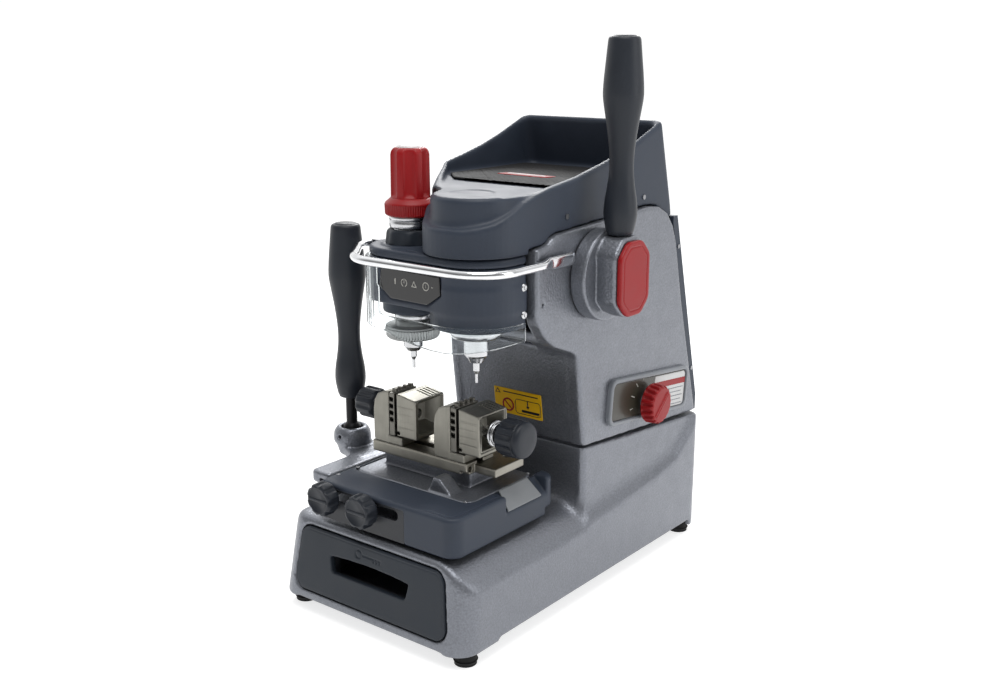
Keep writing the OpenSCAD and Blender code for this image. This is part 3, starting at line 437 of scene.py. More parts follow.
def make_upper_casting():
    g = Grid((-51, -93, 130), (109, 206, 371), 1.7)
    X, Y, Z = g.X, g.Y, g.Z
    cheek = poly(Y, Z, [(-14, 153), (-26, 243), (-34, 247.5), (-44, 251), (-62, 258), (-78, 270), (-86, 281), (-90, 292),
                        (-90, 349), (-78, 350.5), (-72, 352), (-67, 356), (-58, 358.5), (6, 362), (93, 367), (112, 365), (128, 357),
                        (140, 343), (147, 326), (163, 261.5), (201, 134.6), (150, 130), (0, 130)])
    F = ext(cheek, slab(X, 92, 106), 2.6)
    cheek = None
    front = ext(poly(Y, Z, [(-14, 153), (-26.5, 247), (-14, 247), (0, 130), (-10, 130)]), slab(X, -48, 104), 2.4)
    F = smin(F, front, 3)
    left = ext(poly(Y, Z, [(-12, 130), (-24, 243), (150, 175), (188, 130)]), slab(X, -48, -40), 1.5)
    shelf = ext(poly(Y, Z, [(-24, 243), (152, 176), (150, 168), (-20, 234)]), slab(X, -48, 98), 1.5)
    rear = ext(poly(Y, Z, [(146, 168), (146, 268), (158, 268), (192, 135), (192, 130), (178, 130)]), slab(X, -48, 100), 1.5)
    for q in (left, shelf, rear):
        F = smin(F, q, 4)
    arm = rbox(g, (-48, -72, 262), (98, 156, 270), 1.5)
    arm = np.minimum(arm, rbox(g, (-48, -72, 262), (98, -60, 340), 1.5))
    arm = np.minimum(arm, rbox(g, (-48, -72, 262), (-40, 130, 344), 1.5))
    arm = np.minimum(arm, rbox(g, (-48, 122, 262), (98, 130, 344), 1.5))
    F = smin(F, arm, 4)
    # the thick belly of the arm behind the cheek's lower edge
    belly = ext(poly(Y, Z, [(-26, 243), (-40, 252), (-60, 259), (-72, 266), (-72, 270), (-20, 270), (-10, 243)]), slab(X, 60, 104), 2)
    F = smin(F, belly, 4)
    boss = ext(circ(Y, Z, 0, 316, 20), slab(X, 80, 101), 1)
    F = smin(F, boss, 3)
    F = np.maximum(F, -ext(circ(Y, Z, 0, 316, 8.6), slab(X, 50, 140)))
    F = np.maximum(F, -rbox(g, (66, -90, 272), (86, -50, 360), 1))
    F = np.maximum(F, -ext(circ(X, Y, 5, 45, 16), slab(Z, 240, 290)))
    F = np.maximum(F, -ext(circ(Y, Z, 90, 172, 12.6), slab(X, 60, 140)))
    # small drilled hole beside the head, and the seam at the foot
    F = np.maximum(F, -ext(circ(Y, Z, -80, 300, 1.7), slab(X, 98, 120)))
    F = smax(F, seam(Y) + 0.2 - Z, 1.8)
    return solid("upper_casting", F, g, "frame", "cast", ["column_casting", "arm_casting"])


def rim_z(Y):
    return lin(Y, [-200, -150, -132, -116, -100, -80, -60, -20, 22, 50, 78, 104, 116, 124, 200],
               [371, 371, 376, 383, 390, 395.5, 399.5, 405, 414, 421, 430, 440, 444.5, 447.5, 452])


def make_upper_cover():
    g = Grid((-78, -160, 342), (106, 158, 456), 1.45)
    X, Y, Z = g.X, g.Y, g.Z
    big = [(55, -110, 46), (88, 142, 12), (-46, 128, 24), (-56, -2, 14), (-30, -24, 14)]
    P = hull2(X, Y, big)
    lean = (Y - (152.3 - (Z - 344) * 0.2675)) * 0.966
    rim = (Z - rim_z(Y)) * 0.93
    outer = smax(smax(P, lean, 9), rim, 4.2)
    outer = smax(outer, 346 - Z, 1.5)
    pul = ext(circ(X, Y, 55, -110, 38), slab(Z, 346, 395), 3.5)
    F = smin(outer, pul, 5)
    # the flat top that runs back from the pulley housing to the mat
    top = ext(hull2(X, Y, [(55, -110, 38), (72, -60, 22), (-34, -10, 20), (20, 40, 40)]), slab(Z, 350, 395), 3.5)
    F = smin(F, top, 4)
    inner = np.maximum(P + 3, lean + 4)
    room = smax(inner, np.maximum(Z - 391.5, rim + 3), 4)
    F = np.maximum(F, -np.minimum(room, ext(circ(X, Y, 55, -110, 35), slab(Z, 300, 391.5), 2)))
    # tray
    tray = smax(smax(hull2(X, Y, [(55, -110, 40)] + [(x, y, r) for x, y, r in big[1:]]) + 4.2, lean + 6.5, 12), 395 - Z, 5)
    tray = smax(tray, -117 - Y, 2)
    F = smax(F, -tray, 3.5)
    # grooves in the flat top
    c = np.abs(circ(X, Y, 41, -99, 19)) - 0.8
    F = smax(F, -smax(c, 393.8 - Z, 0.6), 1.6)
    dish = smax(circ(X, Y, 41, -99, 18), 394.0 - Z, 1)
    F = smax(F, -dish, 1.6)
    F = np.maximum(F, -ext(circ(X, Y, -20, -110, 26.5), slab(Z, 300, 500)))
    room = ext(poly(Y, Z, [(-95, 330), (-95, 350.6), (-78, 351), (-70, 353.5), (-66, 357), (-58, 359.5), (6, 362.8), (93, 368), (112, 366.3),
                           (129, 358), (141, 344), (150, 330)]), slab(X, 91.5, 200))
    F = np.maximum(F, -room)
    F = np.maximum(F, -rbox(g, (-80, -73, 300), (97, 132, 344.6), 0.5))
    F = np.maximum(F, -rbox(g, (-70, 141.5, 300), (200, 220, 352.6), 0.5))
    return solid("top_cover", F, g, "frame", "cover", ["upper_cover"])

# ------------------------------------------------------------------- head
HEAD = [(-20, -110, 38), (56, -109, 42), (-49, -97, 5), (93, -97, 5)]


def head_plan(g, e=0.0):
    return np.maximum(hull2(g.X, g.Y, HEAD) - e, g.Y - (-92 + min(e, 0)))


def make_head():
    g = Grid((-62, -155, 279), (102, -88, 340), 1.15)
    X, Y, Z = g.X, g.Y, g.Z
    P = smax(hull2(X, Y, HEAD), Y + 92, 4)
    F = ext(P, slab(Z, 296, 337), 2.6)
    low = smax(hull2(X, Y, [(56, -109, 42), (93, -97, 5), (21, -97, 5)]), Y + 92, 4)
    F = smin(F, ext(low, slab(Z, 281, 320), 2.8), 4)
    boss = ext(np.maximum(circ(X, Y, -20, -110, 27), Y + 92), slab(Z, 284, 310), 1.6)
    F = smin(F, boss, 2.5)
    # shallow frame round the symbol panel, and a step under it
    pan = poly(X, Z, [(-21, 329), (48, 328), (49, 313), (34, 303), (-10, 303), (-24, 312)])
    F = smax(F, -smax(smax(pan - 1.5, -(hull2(X, Y, HEAD) + 1.2), 0.5), Y + 125, 1), 1.2)
    # inside
    F = np.maximum(F, -ext(head_plan(g, -4), slab(Z, 300, 360)))
    F = np.maximum(F, -ext(circ(X, Y, -20, -110, 16.3), slab(Z, 270, 360)))
    F = np.maximum(F, -ext(circ(X, Y, 55, -110, 17.3), slab(Z, 270, 310)))
    solid("head_shell", F, g, "head", "cover", ["head_housing"])
    g = Grid((-62, -155, 335), (102, -88, 347), 0.95)
    X, Y, Z = g.X, g.Y, g.Z
    P = smax(hull2(X, Y, HEAD), Y + 92, 4)
    F = ext(P, slab(Z, 337.4, 345), 2.4)
    F = np.maximum(F, -ext(circ(X, Y, -20, -110, 16.3), slab(Z, 300, 360)))
    F = np.maximum(F, -ext(circ(X, Y, 55, -110, 17.3), slab(Z, 300, 360)))
    F = smax(F, -rbox(g, (2, -141, 342), (12, -138, 349), 1), 1)
    # raised land under the tracer's nut
    F = smin(F, ext(circ(X, Y, -20, -110, 27), slab(Z, 342, 346), 1), 1.5)
    F = np.maximum(F, -ext(circ(X, Y, -20, -110, 16.3), slab(Z, 300, 360)))
    return solid("head_top_deck", F, g, "head", "cover", ["head_deck"])


def make_icon_panel():
    g = Grid((-27, -156, 300), (52, -140, 331), 0.5)
    X, Y, Z = g.X, g.Y, g.Z
    H = hull2(X, Y, HEAD)
    pan = poly(X, Z, [(-21, 329), (48, 328), (49, 313), (34, 303), (-10, 303), (-24, 312)]) - 0.6
    F = smax(smax(pan, H - 0.9, 0.8), -(H + 1.0), 0.2)
    solid("symbol_panel", F, g, "head", "gloss", ["icon_panel"])
    # four plain symbols and a small latch
    marks = None
    for i, cx in enumerate((-4, 7, 19, 33)):
        cz = 318.5
        if i == 0:
            s = np.maximum(np.abs(X - cx) - 0.7, np.abs(Z - cz) - 2.6)
        elif i == 1:
            s = np.minimum(np.maximum(np.abs(circ(X, Z, cx, cz, 3.2)) - 0.5, 0.6 - np.abs(X - cx)), np.maximum(np.abs(X - cx) - 0.5, np.abs(Z - cz - 1.6) - 2.2))
        elif i == 2:
            s = np.maximum(poly(X, Z, [(cx - 3.4, cz - 2.6), (cx + 3.4, cz - 2.6), (cx, cz + 3.4)]), -(poly(X, Z, [(cx - 3.4, cz - 2.6), (cx + 3.4, cz - 2.6), (cx, cz + 3.4)]) + 0.9))
        else:
            s = np.abs(circ(X, Z, cx, cz, 3.4)) - 0.5
            s = np.minimum(s, np.maximum(np.abs(X - cx) - 0.4, np.abs(Z - cz) - 1.6))
            s = np.minimum(s, np.maximum(np.abs(X - cx - 7) - 2.0, np.abs(Z - cz) - 0.5))
        marks = s if marks is None else np.minimum(marks, s)
    F = np.maximum(np.maximum(marks, H - 1.15), -(H - 0.6))
    return solid("symbol_marks", F, g, "head", "mark", [])


def make_table():
    g = Grid((-69, -194, 92), (99, -40, 135), 1.1)
    X, Y, Z = g.X, g.Y, g.Z
    P = poly(X, Y, [(-66, -177), (-62, -177), (-52, -177), (82, -177), (82, -57), (-66, -57)]) - 14
    P = smax(P, -66 - X, 3)
    F = ext(P, slab(Z, 95, 132), 3.4)
    # inside, left side and rear
    cav = ext(smax(P + 4, -200 - X, 1), slab(Z, 60, 127), 3)
    cav = np.maximum(cav, -np.maximum(np.abs(Y + 88.5) - 33, 146 - (0.682 * X + 0.732 * Z)))
    F = smax(F, -cav, 1)
    F = np.maximum(F, -rbox(g, (-90, -215, 60), (-62.2, -20, 127), 1))
    F = smax(F, -rbox(g, (-90, -60, 60), (100, -20, 103), 1), 2)
    # U opening
    F = smax(F, -ext(poly(X, Y, [(-53, -141), (69, -141), (69, 0), (-53, 0)]) - 10, slab(Z, 100, 160)), 3.0)
    F = smax(F, -rbox(g, (-90, -58, 60), (70, -20, 160), 1), 2)
    # opening for the front plate
    F = smax(F, -rbox(g, (-90, -215, 60), (38, -180, 127), 1.5), 1.2)
    # bead line along the front, the corner and the right edge
    line = np.abs(smax(P + 6.0, -X - 58, 1)) - 0.55
    line = np.maximum(line, np.maximum(60 - X, Y + 66))
    F = smax(F, -np.maximum(line, 131.2 - Z), 1.0)
    # slanted cut over the right edge, where the plate folds over
    slope = 0.682 * X + 0.732 * Z
    cut = smax(np.abs(Y + 88.5) - 30, 150.2 - slope, 1.5)
    F = smax(F, -cut, 2.0)
    return solid("table_shell", F, g, "carriage", "cover", ["table_cover"])


def make_fold_plate():
    """blank plate folded over the table's right edge"""
    prof = [(80.6, 132.4, -111.6, -70.3), (82.2, 132.2, -112, -70), (89.6, 125.3, -114.4, -69.0), (96.8, 118.2, -117.0, -67.7)]
    th = 1.5
    bm = bmesh.new()
    rings = []
    for (x, z, ya, yb) in prof:
        rings.append([row(x, ya, z), row(x, yb, z)])
    low = [(x - 1.0, z - 1.3, ya, yb) for (x, z, ya, yb) in prof]
    top = [[bm.verts.new(p) for p in r] for r in rings]
    bot = [[bm.verts.new(row(x, y, z)) for y in (ya, yb)] for (x, z, ya, yb) in low]
    n = len(prof)
    for i in range(n - 1):
        bm.faces.new((top[i][0], top[i][1], top[i + 1][1], top[i + 1][0]))
        bm.faces.new((bot[i][0], bot[i + 1][0], bot[i + 1][1], bot[i][1]))
        bm.faces.new((top[i][0], top[i + 1][0], bot[i + 1][0], bot[i][0]))
        bm.faces.new((top[i][1], bot[i][1], bot[i + 1][1], top[i + 1][1]))
    bm.faces.new((top[0][0], bot[0][0], bot[0][1], top[0][1]))
    bm.faces.new((top[-1][0], top[-1][1], bot[-1][1], bot[-1][0]))
    bmesh.ops.recalc_face_normals(bm, faces=bm.faces)
    me = bpy.data.meshes.new("fold_plate")
    bm.to_mesh(me); bm.free()
    o = piece("fold_plate", me, "carriage", "greyplate", [])
    bevel(o, 0.5, 2)
    return o


def bevel(o, mm, seg=2, angle=35):
    m = o.modifiers.new("Bevel", "BEVEL")
    m.width, m.segments, m.limit_method, m.angle_limit = mm / 1000, seg, "ANGLE", math.radians(angle)
    m.harden_normals = False
    return o


def make_carriage():
    g = Grid((-136, -181, 105), (84, -49, 154), 1.25)
    X, Y, Z = g.X, g.Y, g.Z
    strip = ext(poly(X, Y, [(-86, -172), (-73, -172), (-73, -58), (-86, -58)]) - 6, slab(Z, 121, 132), 2.4)
    skirt = rbox(g, (-92, -170, 108), (-77, -60, 124), 3)
    plate = ext(poly(X, Y, [(-84, -170), (74, -170), (74, -60), (-84, -60)]) - 6, slab(Z, 121, 126.6), 1)
    well = ext(poly(X, Y, [(-54, -142), (70, -142), (70, -64), (-54, -64)]) - 8, slab(Z, 126, 131), 1)
    F = smin(smin(strip, skirt, 4), np.minimum(plate, well), 3)
    ring = ext(circ(X, Y, -114, -100, 18.0 - 3.4 * np.clip((Z - 145.5) / 5.5, 0, 1)), slab(Z, 136, 151), 1.8)
    neck = circ(X, Y, -114, -100, 10.8 + 6.5 * np.clip((Z - 121) / 15, 0, 1))
    neck = smax(smax(neck, 123 - Z, 3), Z - 142, 3)
    arm = poly(X, Y, [(-116, -112), (-86, -124), (-80, -124), (-80, -78), (-86, -78), (-116, -89)]) - 2
    arm = smax(smax(arm, 121.5 + 0.12 * (-88 - X) - Z, 3), Z - 130.5 - 0.2 * np.clip(-88 - X, 0, 40), 3)
    F = smin(F, smin(smin(arm, neck, 6), ring, 3.5), 7)
    ped = rbox(g, (-50, -120, 128), (55, -84, 145), 1.5)
    F = smin(F, ped, 2)
    w = ext(poly(X, Z, [(27, 128), (57, 128), (54, 132), (41, 144), (34, 144)]), slab(Y, -147, -130), 1.2)
    F = smin(F, w, 2)
    F = np.maximum(F, -ext(circ(X, Y, -114, -100, 10.9), slab(Z, 100, 160)))
    F = smax(F, -ext(circ(X, Y, -114, -100, 13.2), slab(Z, 60, 138)), 1)
    F = np.maximum(F, -rbox(g, (-80, -190, 100), (36, -160, 126), 1))
    F = np.maximum(F, -ext(circ(X, Z, -114, 143, 2.0), slab(Y, -140, -109)))
    # the plate's underside stays clear of the rails and blocks
    F = np.maximum(F, -rbox(g, (-76.6, -180, 90), (90, -50, 121), 0.5))
    return solid("table_carriage", F, g, "carriage", "cast", ["x_carriage"])


def make_hub():
    g = Grid((105, -44, 272), (146, 44, 360), 0.95)
    X, Y, Z = g.X, g.Y, g.Z
    disc = ext(circ(Y, Z, 0, 316, 42), slab(X, 106.5, 122), 1.8)
    flare = 1.0 + 7.0 * np.clip((134 - X) / 22, 0, 1) ** 1.6
    oct_ = poly(Y, Z, [(-14, 300), (-7, 293), (7, 293), (14, 300), (14, 333), (7, 341), (-7, 341), (-14, 333)]) - 12.4
    top = np.clip((Z - 330) / 14, 0, 1)
    block = ext(oct_ + flare * (1 - top), slab(X, 110, 144), 3.0)
    F = smin(disc, block, 2.0)
    # flat seat for the grip
    F = smax(F, -ext(circ(X, Y, 131, 0, 13.2), slab(Z, 353.9, 400)), 0.4)
    F = np.maximum(F, -ext(circ(Y, Z, 0, 316, 8.4), slab(X, 90, 124.2)))
    solid("lever_hub", F, g, "z_lever", "cast", ["z_hub"])
    g = Grid((142, -28, 279), (150, 28, 354), 0.55)
    X, Y, Z = g.X, g.Y, g.Z
    o2 = poly(Y, Z, [(-13, 300), (-6.5, 293.5), (6.5, 293.5), (13, 300), (13, 332), (6.5, 338.5), (-6.5, 338.5), (-13, 332)]) - 11.3
    F = ext(o2, slab(X, 144.2, 148.9), 1.7)
    # shallow raised land with a fine groove round it
    F = smax(F, -np.maximum(np.abs(o2 + 5.2) - 0.45, 148.3 - X), 0.5)
    return solid("hub_cap", F, g, "z_lever", "red", ["z_hub_cap"])


def make_bar():
    """polished round bar bent round the head, with a flattened right end"""
    def arc(cx, cy, r, a0, a1, n=14):
        return [(cx + r * math.cos(math.radians(a0 + (a1 - a0) * i / n)), cy + r * math.sin(math.radians(a0 + (a1 - a0) * i / n))) for i in range(n + 1)]
    pts = [(113.2, -46), (113.2, -60), (113.2, -80), (113.0, -100)]
    pts += arc(76, -130, 37.2, 8, -82, 20)
    pts += arc(-20, -128, 39.2, -95, -150, 14)
    pts += arc(-46, -98, 39.2, -150, -184, 8)
    # even spacing
    P = np.array(pts)
    d = np.r_[0, np.cumsum(np.hypot(*np.diff(P, axis=0).T))]
    t = np.linspace(0, d[-1], 150)
    P = np.c_[np.interp(t, d, P[:, 0]), np.interp(t, d, P[:, 1])]
    for _ in range(6):
        P[1:-1] = P[1:-1] * 0.5 + (P[:-2] + P[2:]) * 0.25
    rings = []
    for i in range(len(P)):
        T = P[min(i + 1, len(P) - 1)] - P[max(i - 1, 0)]
        T = T / np.hypot(*T)
        N = np.array([-T[1], T[0]])
        y = P[i, 1]
        f = np.clip((y + 92) / 14, 0, 1) if P[i, 0] > 60 else 0
        f = f * f * (3 - 2 * f)
        rn, rz = 3.8 * (1 - f) + 2.3 * f, 3.8 * (1 - f) + 5.6 * f
        off = -1.3 * f
        ring = []
        for k in range(24):
            a = 2 * math.pi * k / 24
            c, s_ = math.cos(a), math.sin(a)
            e = 1 - 0.5 * f
            cc = math.copysign(abs(c) ** e, c)
            ss = math.copysign(abs(s_) ** e, s_)
            sgn = 1
            p = P[i] + N * sgn * (rn * cc) + np.array([off, 0]) * 1.0
            ring.append((p[0], p[1], 337 + rz * ss))
        rings.append(ring)
    me = loft_mesh("bar", rings)
    o = piece("guard_bar", me, "frame", "chrome", ["bumper_bar"])
    # left end: bracket that turns in behind the head
    g = Grid((-88, -96, 331), (-47, -58, 343), 0.9)
    X, Y, Z = g.X, g.Y, g.Z
    a = rbox(g, (-86.5, -98, 333.6), (-53, -92 + 4.5, 340.4), 2.0)
    b = rbox(g, (-59, -92, 333.6), (-52.5, -60, 340.4), 2.0)
    c = rbox(g, (-59, -66, 333.6), (-48.2, -60, 340.4), 1.5)
    F = smin(smin(a, b, 3), c, 2)
    F = np.maximum(F, -ext(hull2(X, Y, HEAD) - 1.0, slab(Z, 300, 360)))
    return solid("guard_bar_end", F, g, "frame", "chrome", [])


def loft_mesh(name, rings, cap=True, smooth=True):
    bm = bmesh.new()
    R = [[bm.verts.new(row(*p)) for p in r] for r in rings]
    n = len(R[0])
    for i in range(len(R) - 1):
        for k in range(n):
            f = bm.faces.new((R[i][k], R[i][(k + 1) % n], R[i + 1][(k + 1) % n], R[i + 1][k]))
            f.smooth = smooth
    if cap:
        bm.faces.new(R[0][::-1])
        bm.faces.new(R[-1])
    bmesh.ops.recalc_face_normals(bm, faces=bm.faces)
    me = bpy.data.meshes.new(name)
    bm.to_mesh(me)
    bm.free()
    return me


def make_guard():
    g = Grid((-66, -158, 258), (104, -96, 339), 0.72)
    X, Y, Z = g.X, g.Y, g.Z
    H = hull2(X, Y, HEAD)
    sh = np.abs(H - 2.7) - 1.15
    left = smax(smax(X + 24, 290.5 - Z, 3), Z - 336, 2)
    left = np.where(X > -1e9, left, left)
    hang = smax(smax(np.abs(X + 40) - 17, 273.5 - Z, 3), Z - 312, 2)
    front = smax(smax(-24 - X, Z - 287, 2), (263.5 + 0.0022 * (X - 46) ** 2) - Z, 3)
    wrap = smin(smin(left, hang, 4), front, 5)
    F = smax(sh, wrap, 1.0)
    F = smax(F, Y + 99.5, 1.0)
    return solid("acrylic_guard", F, g, "head", "acrylic", ["clear_guard"])

# ------------------------------------------------------------ turned parts
def lathe(name, prof, o, ax, body, mat, replaces=(), seg=64, n=0, w=0.3, ph=0.0, knurl=False):
    """turned part; prof is (t, radius, flute depth) along the axis; n round
    flutes of half width w (in parts of the pitch)"""
    th = np.linspace(0, 2 * math.pi, seg, endpoint=False)
    if n:
        u = ((th + ph) * n / (2 * math.pi)) % 1.0
        d = np.abs(u - 0.5)
        f = 0.5 + 0.5 * np.cos(2 * math.pi * (u - 0.5)) if knurl else np.sqrt(np.clip(1 - (d / w) ** 2, 0, 1)) if w < 0.5 else np.clip(1 - 2 * d, 0, 1)
    else:
        f = np.zeros(seg)
    rings = []
    for p in prof:
        t, r = p[0], p[1]
        amp = p[2] if len(p) > 2 else 0
        rr = r - amp * f
        c, s_ = rr * np.cos(th), rr * np.sin(th)
        if ax == "z":
            P = [(o[0] + a, o[1] + b, o[2] + t) for a, b in zip(c, s_)]
        elif ax == "x":
            P = [(o[0] + t, o[1] + a, o[2] + b) for a, b in zip(c, s_)]
        else:
            P = [(o[0] + a, o[1] + t, o[2] + b) for a, b in zip(c, s_)]
        rings.append(P)
    me = loft_mesh(name, rings)
    ob = piece(name, me, body, mat, replaces)
    return ob


def spline(pts, m=5):
    """Catmull-Rom through the points"""
    P = np.array([pts[0]] + list(pts) + [pts[-1]], float)
    out = []
    for i in range(1, len(P) - 2):
        for k in range(m):
            t = k / m
            a, b, c, d = P[i - 1], P[i], P[i + 1], P[i + 2]
            out.append(0.5 * ((2 * b) + (c - a) * t + (2 * a - 5 * b + 4 * c - d) * t * t + (3 * b - a - 3 * c + d) * t ** 3))
    out.append(P[-2])
    return [tuple(v) for v in out]


def make_grips():
    r, L = 18.0, None
    for name, node, o, body, bore, depth in (
            ("joystick_handle", "joystick_grip", (-114, -100, 182), "joystick", 5.6, 24),
            ("z_lever_handle", "z_lever_grip", (131, 0, 354.5), "z_lever", 6.1, 26)):
        L = (max(v.co.z for v in NODES[node].data.vertices) - min(v.co.z for v in NODES[node].data.vertices)) * 1000
        body_pts = spline([(0.012 * L, r * .66), (0.03 * L, r * .72), (L * .10, r * .83), (L * .17, r * .80), (L * .25, r * .68), (L * .33, r * .605),
                           (L * .42, r * .62), (L * .53, r * .74), (L * .62, r * .88), (L * .68, r * .97), (L * .72, r * 0.995),
                           (L * .79, r * .96), (L * .88, r * .88), (L * .965, r * .80)], 6)
        prof = [(depth, 0.3), (depth, bore), (0.25, bore), (0, bore + 0.4), (0, r * .60), (0.3, r * .63)] + body_pts + \
               [(L * .978, r * .785), (L * .986, r * .755), (L * .992, r * .70), (L * .9935, r * .66), (L * .992, r * .62), (L * .993, r * .60), (L * .9985, r * .55), (L, r * .40), (L, 0.3)]
        lathe(name, prof, o, "z", body, "grip", [node], 72)
    return NODES["z_lever_grip"]


def make_knobs():
    # red tracer knob with a knurled skirt, six flutes and a pale cap
    o = (-20, -110, 0)
    lathe("tracer_knob_skirt", [(371, 15.2), (371, 21.2), (371.6, 22.2), (372.2, 22.9, 0.0), (372.8, 23.2, .9), (380.6, 23.5, .9), (381.6, 23.4, 0.1), (382.6, 22.8), (383.4, 22.0), (385.4, 19.6), (386.6, 18.3), (387, 17.0), (387, 15.2)],
          o, "z", "tracer_knob", "red", ["tracer_top_knob"], 288, 66, 0.5, 0, True)
    lathe("tracer_knob_body", [(386.4, 15), (386.4, 18.0, 0), (387.5, 17.6, .3), (389.5, 17.6, 2.2), (392, 17.6, 2.9), (424.5, 17.3, 2.9), (427.2, 16.7, 2.6), (429.0, 15.6, 1.4), (430.2, 14.2, 0.8), (430.8, 12.8, 0.2), (430.8, 12.0)],
          o, "z", "tracer_knob", "red", [], 168, 6, 0.30, math.radians(20))
    lathe("tracer_knob_cap", [(428, 11.7), (430.6, 11.9), (431.4, 11.7), (432.4, 10.6), (433.0, 8.6), (433.4, 5.5), (433.5, 0.3)],
          o, "z", "tracer_knob", "capwhite", [], 64)
    # two locking knobs of the table
    for name, node, x, body in (("table_lock_x", "x_lock_knob", -3, "x_lock"), ("table_lock_y", "y_lock_knob", -51, "y_lock")):
        lathe(name, [(0, 1.9), (0, 12.2), (-0.3, 13.0), (-1.0, 14.6, 0.3), (-2.0, 15.4, 1.6), (-3.5, 15.6, 2.0), (-11.2, 15.4, 2.2), (-12.4, 15.1, 2.0), (-13.4, 14.3, 1.4), (-13.9, 13.2, 0.6), (-14.1, 12.4, 0), (-14.0, 11.6), (-13.5, 11.3), (-13.5, 0.3)],
              (x, -194, 120), "y", body, "grip", [node], 144, 8, 0.26, math.radians(22.5))
        lathe(name + "_stem", [(2, 0.2), (2, 2.0), (-29, 2.0), (-29, 0.2)], (x, -165.5, 120), "y", body, "screw", [], 24)
        # straight raised finger bar across the face
        g = Grid((x - 12.6, -209.3, 117), (x + 12.6, -206.2, 123), 0.5)
        F = smax(rbox(g, (x - 11.5, -208.3, 118.4), (x + 11.5, -205, 121.6), 0.9), circ(g.X, g.Z, x, 120, 11.2), 0.5)
        solid(name + "_bar", F, g, body, "grip", [])
    # clamp knobs of the vises
    lathe("left_clamp_handle", [(0, 4.2), (0, 11.6), (-0.4, 12.6), (-1.3, 14.2, 0.3), (-2.6, 14.8, 1.6), (-4, 15, 2.0), (-17.6, 15, 2.0), (-19.6, 14.7, 1.7), (-21.0, 13.8, 1.0), (-21.8, 12.6, 0.2), (-22.0, 11.8), (-21.9, 11.0), (-21.3, 10.6), (-21.3, 0.3)],
          (-66, -108, 184), "x", "left_clamp", "grip", ["left_clamp_knob"], 144, 8, 0.24, math.radians(22.5))
    lathe("right_clamp_handle", [(0, 4.2), (0, 12.6), (0.5, 14), (1.6, 16.2, 0.4), (3.0, 16.8, 1.6), (4.5, 17, 2.0), (18.6, 17, 2.0), (19.4, 17.0, 0.4), (19.6, 16.9, 0), (20.0, 16.2), (20.4, 16.2), (20.8, 16.9), (23.6, 16.4), (25.2, 15.4), (26.2, 13.6), (26.6, 11.4), (26.8, 6), (26.8, 0.3)],
          (84, -108, 184), "x", "right_clamp", "grip", ["right_clamp_knob"], 180, 10, 0.26, 0)
    # rotary control knob
    lathe("selector_handle", [(0, 3.0), (0, 18.6), (0.3, 19.4), (1.2, 20.0, 0.3), (1.8, 20.0, 1.6), (3, 20, 2.3), (10.6, 19.4, 2.3), (12.0, 19.0, 1.9), (13.0, 18.0, 1.0), (13.5, 16.8, 0.2), (13.6, 15.8), (13.6, 0.3)],
          (115.4, 90, 172), "x", "selector", "red", ["selector_knob"], 216, 18, 0.30, 0)
    g = Grid((126.5, 73, 155), (131.5, 107, 189), 0.55)
    c, s_ = math.cos(math.radians(42)), math.sin(math.radians(42))
    u = (g.Y - 90) * c + (g.Z - 172) * s_
    v = -(g.Y - 90) * s_ + (g.Z - 172) * c
    F = smax(smax(np.abs(v) - 3.0 + 0.4 * (g.X - 128), g.X - 130.0, 0.8), np.abs(u) - 15.2, 0.8)
    F = np.maximum(F, 127.5 - g.X)
    F = smax(F, -np.maximum(np.abs(v) - 0.5, 129.4 - g.X), 0.3)
    solid("selector_ridge", F, g, "selector", "red", [])
    lathe("selector_stem", [(0, 0.2), (0, 3.0), (24, 3.0), (24, 0.2)], (92, 90, 172), "x", "selector", "screw", [], 24)
    # knurled adjusting ring, nose, quill and collars
    lathe("depth_ring", [(259, 9.2), (259, 22.6), (259.3, 23.3), (260.4, 24.4, 0.1), (261.0, 24.8, 1.1), (267.6, 25.0, 1.1), (268.4, 24.9, 0.2), (268.8, 24.0), (269.2, 24.0), (269.6, 24.6), (270.4, 24.4), (271, 23.4), (271, 15.6), (271.6, 15.5), (275.0, 15.5), (275.6, 14.9), (275.6, 9.2)],
          o, "z", "tracer_dial", "knurled", ["tracer_ring"], 336, 56, 0.34)
    sp = (55, -110, 0)
    lathe("spindle_cone", [(304, 8.2), (304, 17), (281, 17), (280.6, 17.4), (280.6, 24.6), (280.2, 25), (275.6, 25), (274.8, 24.8), (271.2, 22.2), (270.6, 21.4), (268.9, 16.6), (268.6, 15.8), (268.6, 8.2)],
          sp, "z", "head", "turned", ["spindle_nose"], 72)
    lathe("spindle_collet", [(262, 0.3), (262, 10.9), (255.2, 10.95), (254.4, 10.7), (252.0, 9.2)], sp, "z", "spindle", "turned", [], 64)
    lathe("spindle_collet_band", [(254.4, 8), (253.9, 10.5), (252.2, 9.1), (252.0, 7.5)], sp, "z", "spindle", "rod", [], 48)
    lathe("tracer_barrel", [(360.5, 9), (360.5, 19.0), (361.2, 19.6), (366.4, 19.6), (366.9, 19.2), (367.2, 19.2), (367.5, 19.7), (370.4, 19.9), (370.9, 19.4), (370.9, 14)],
          o, "z", "tracer_knob", "turned", [], 96)
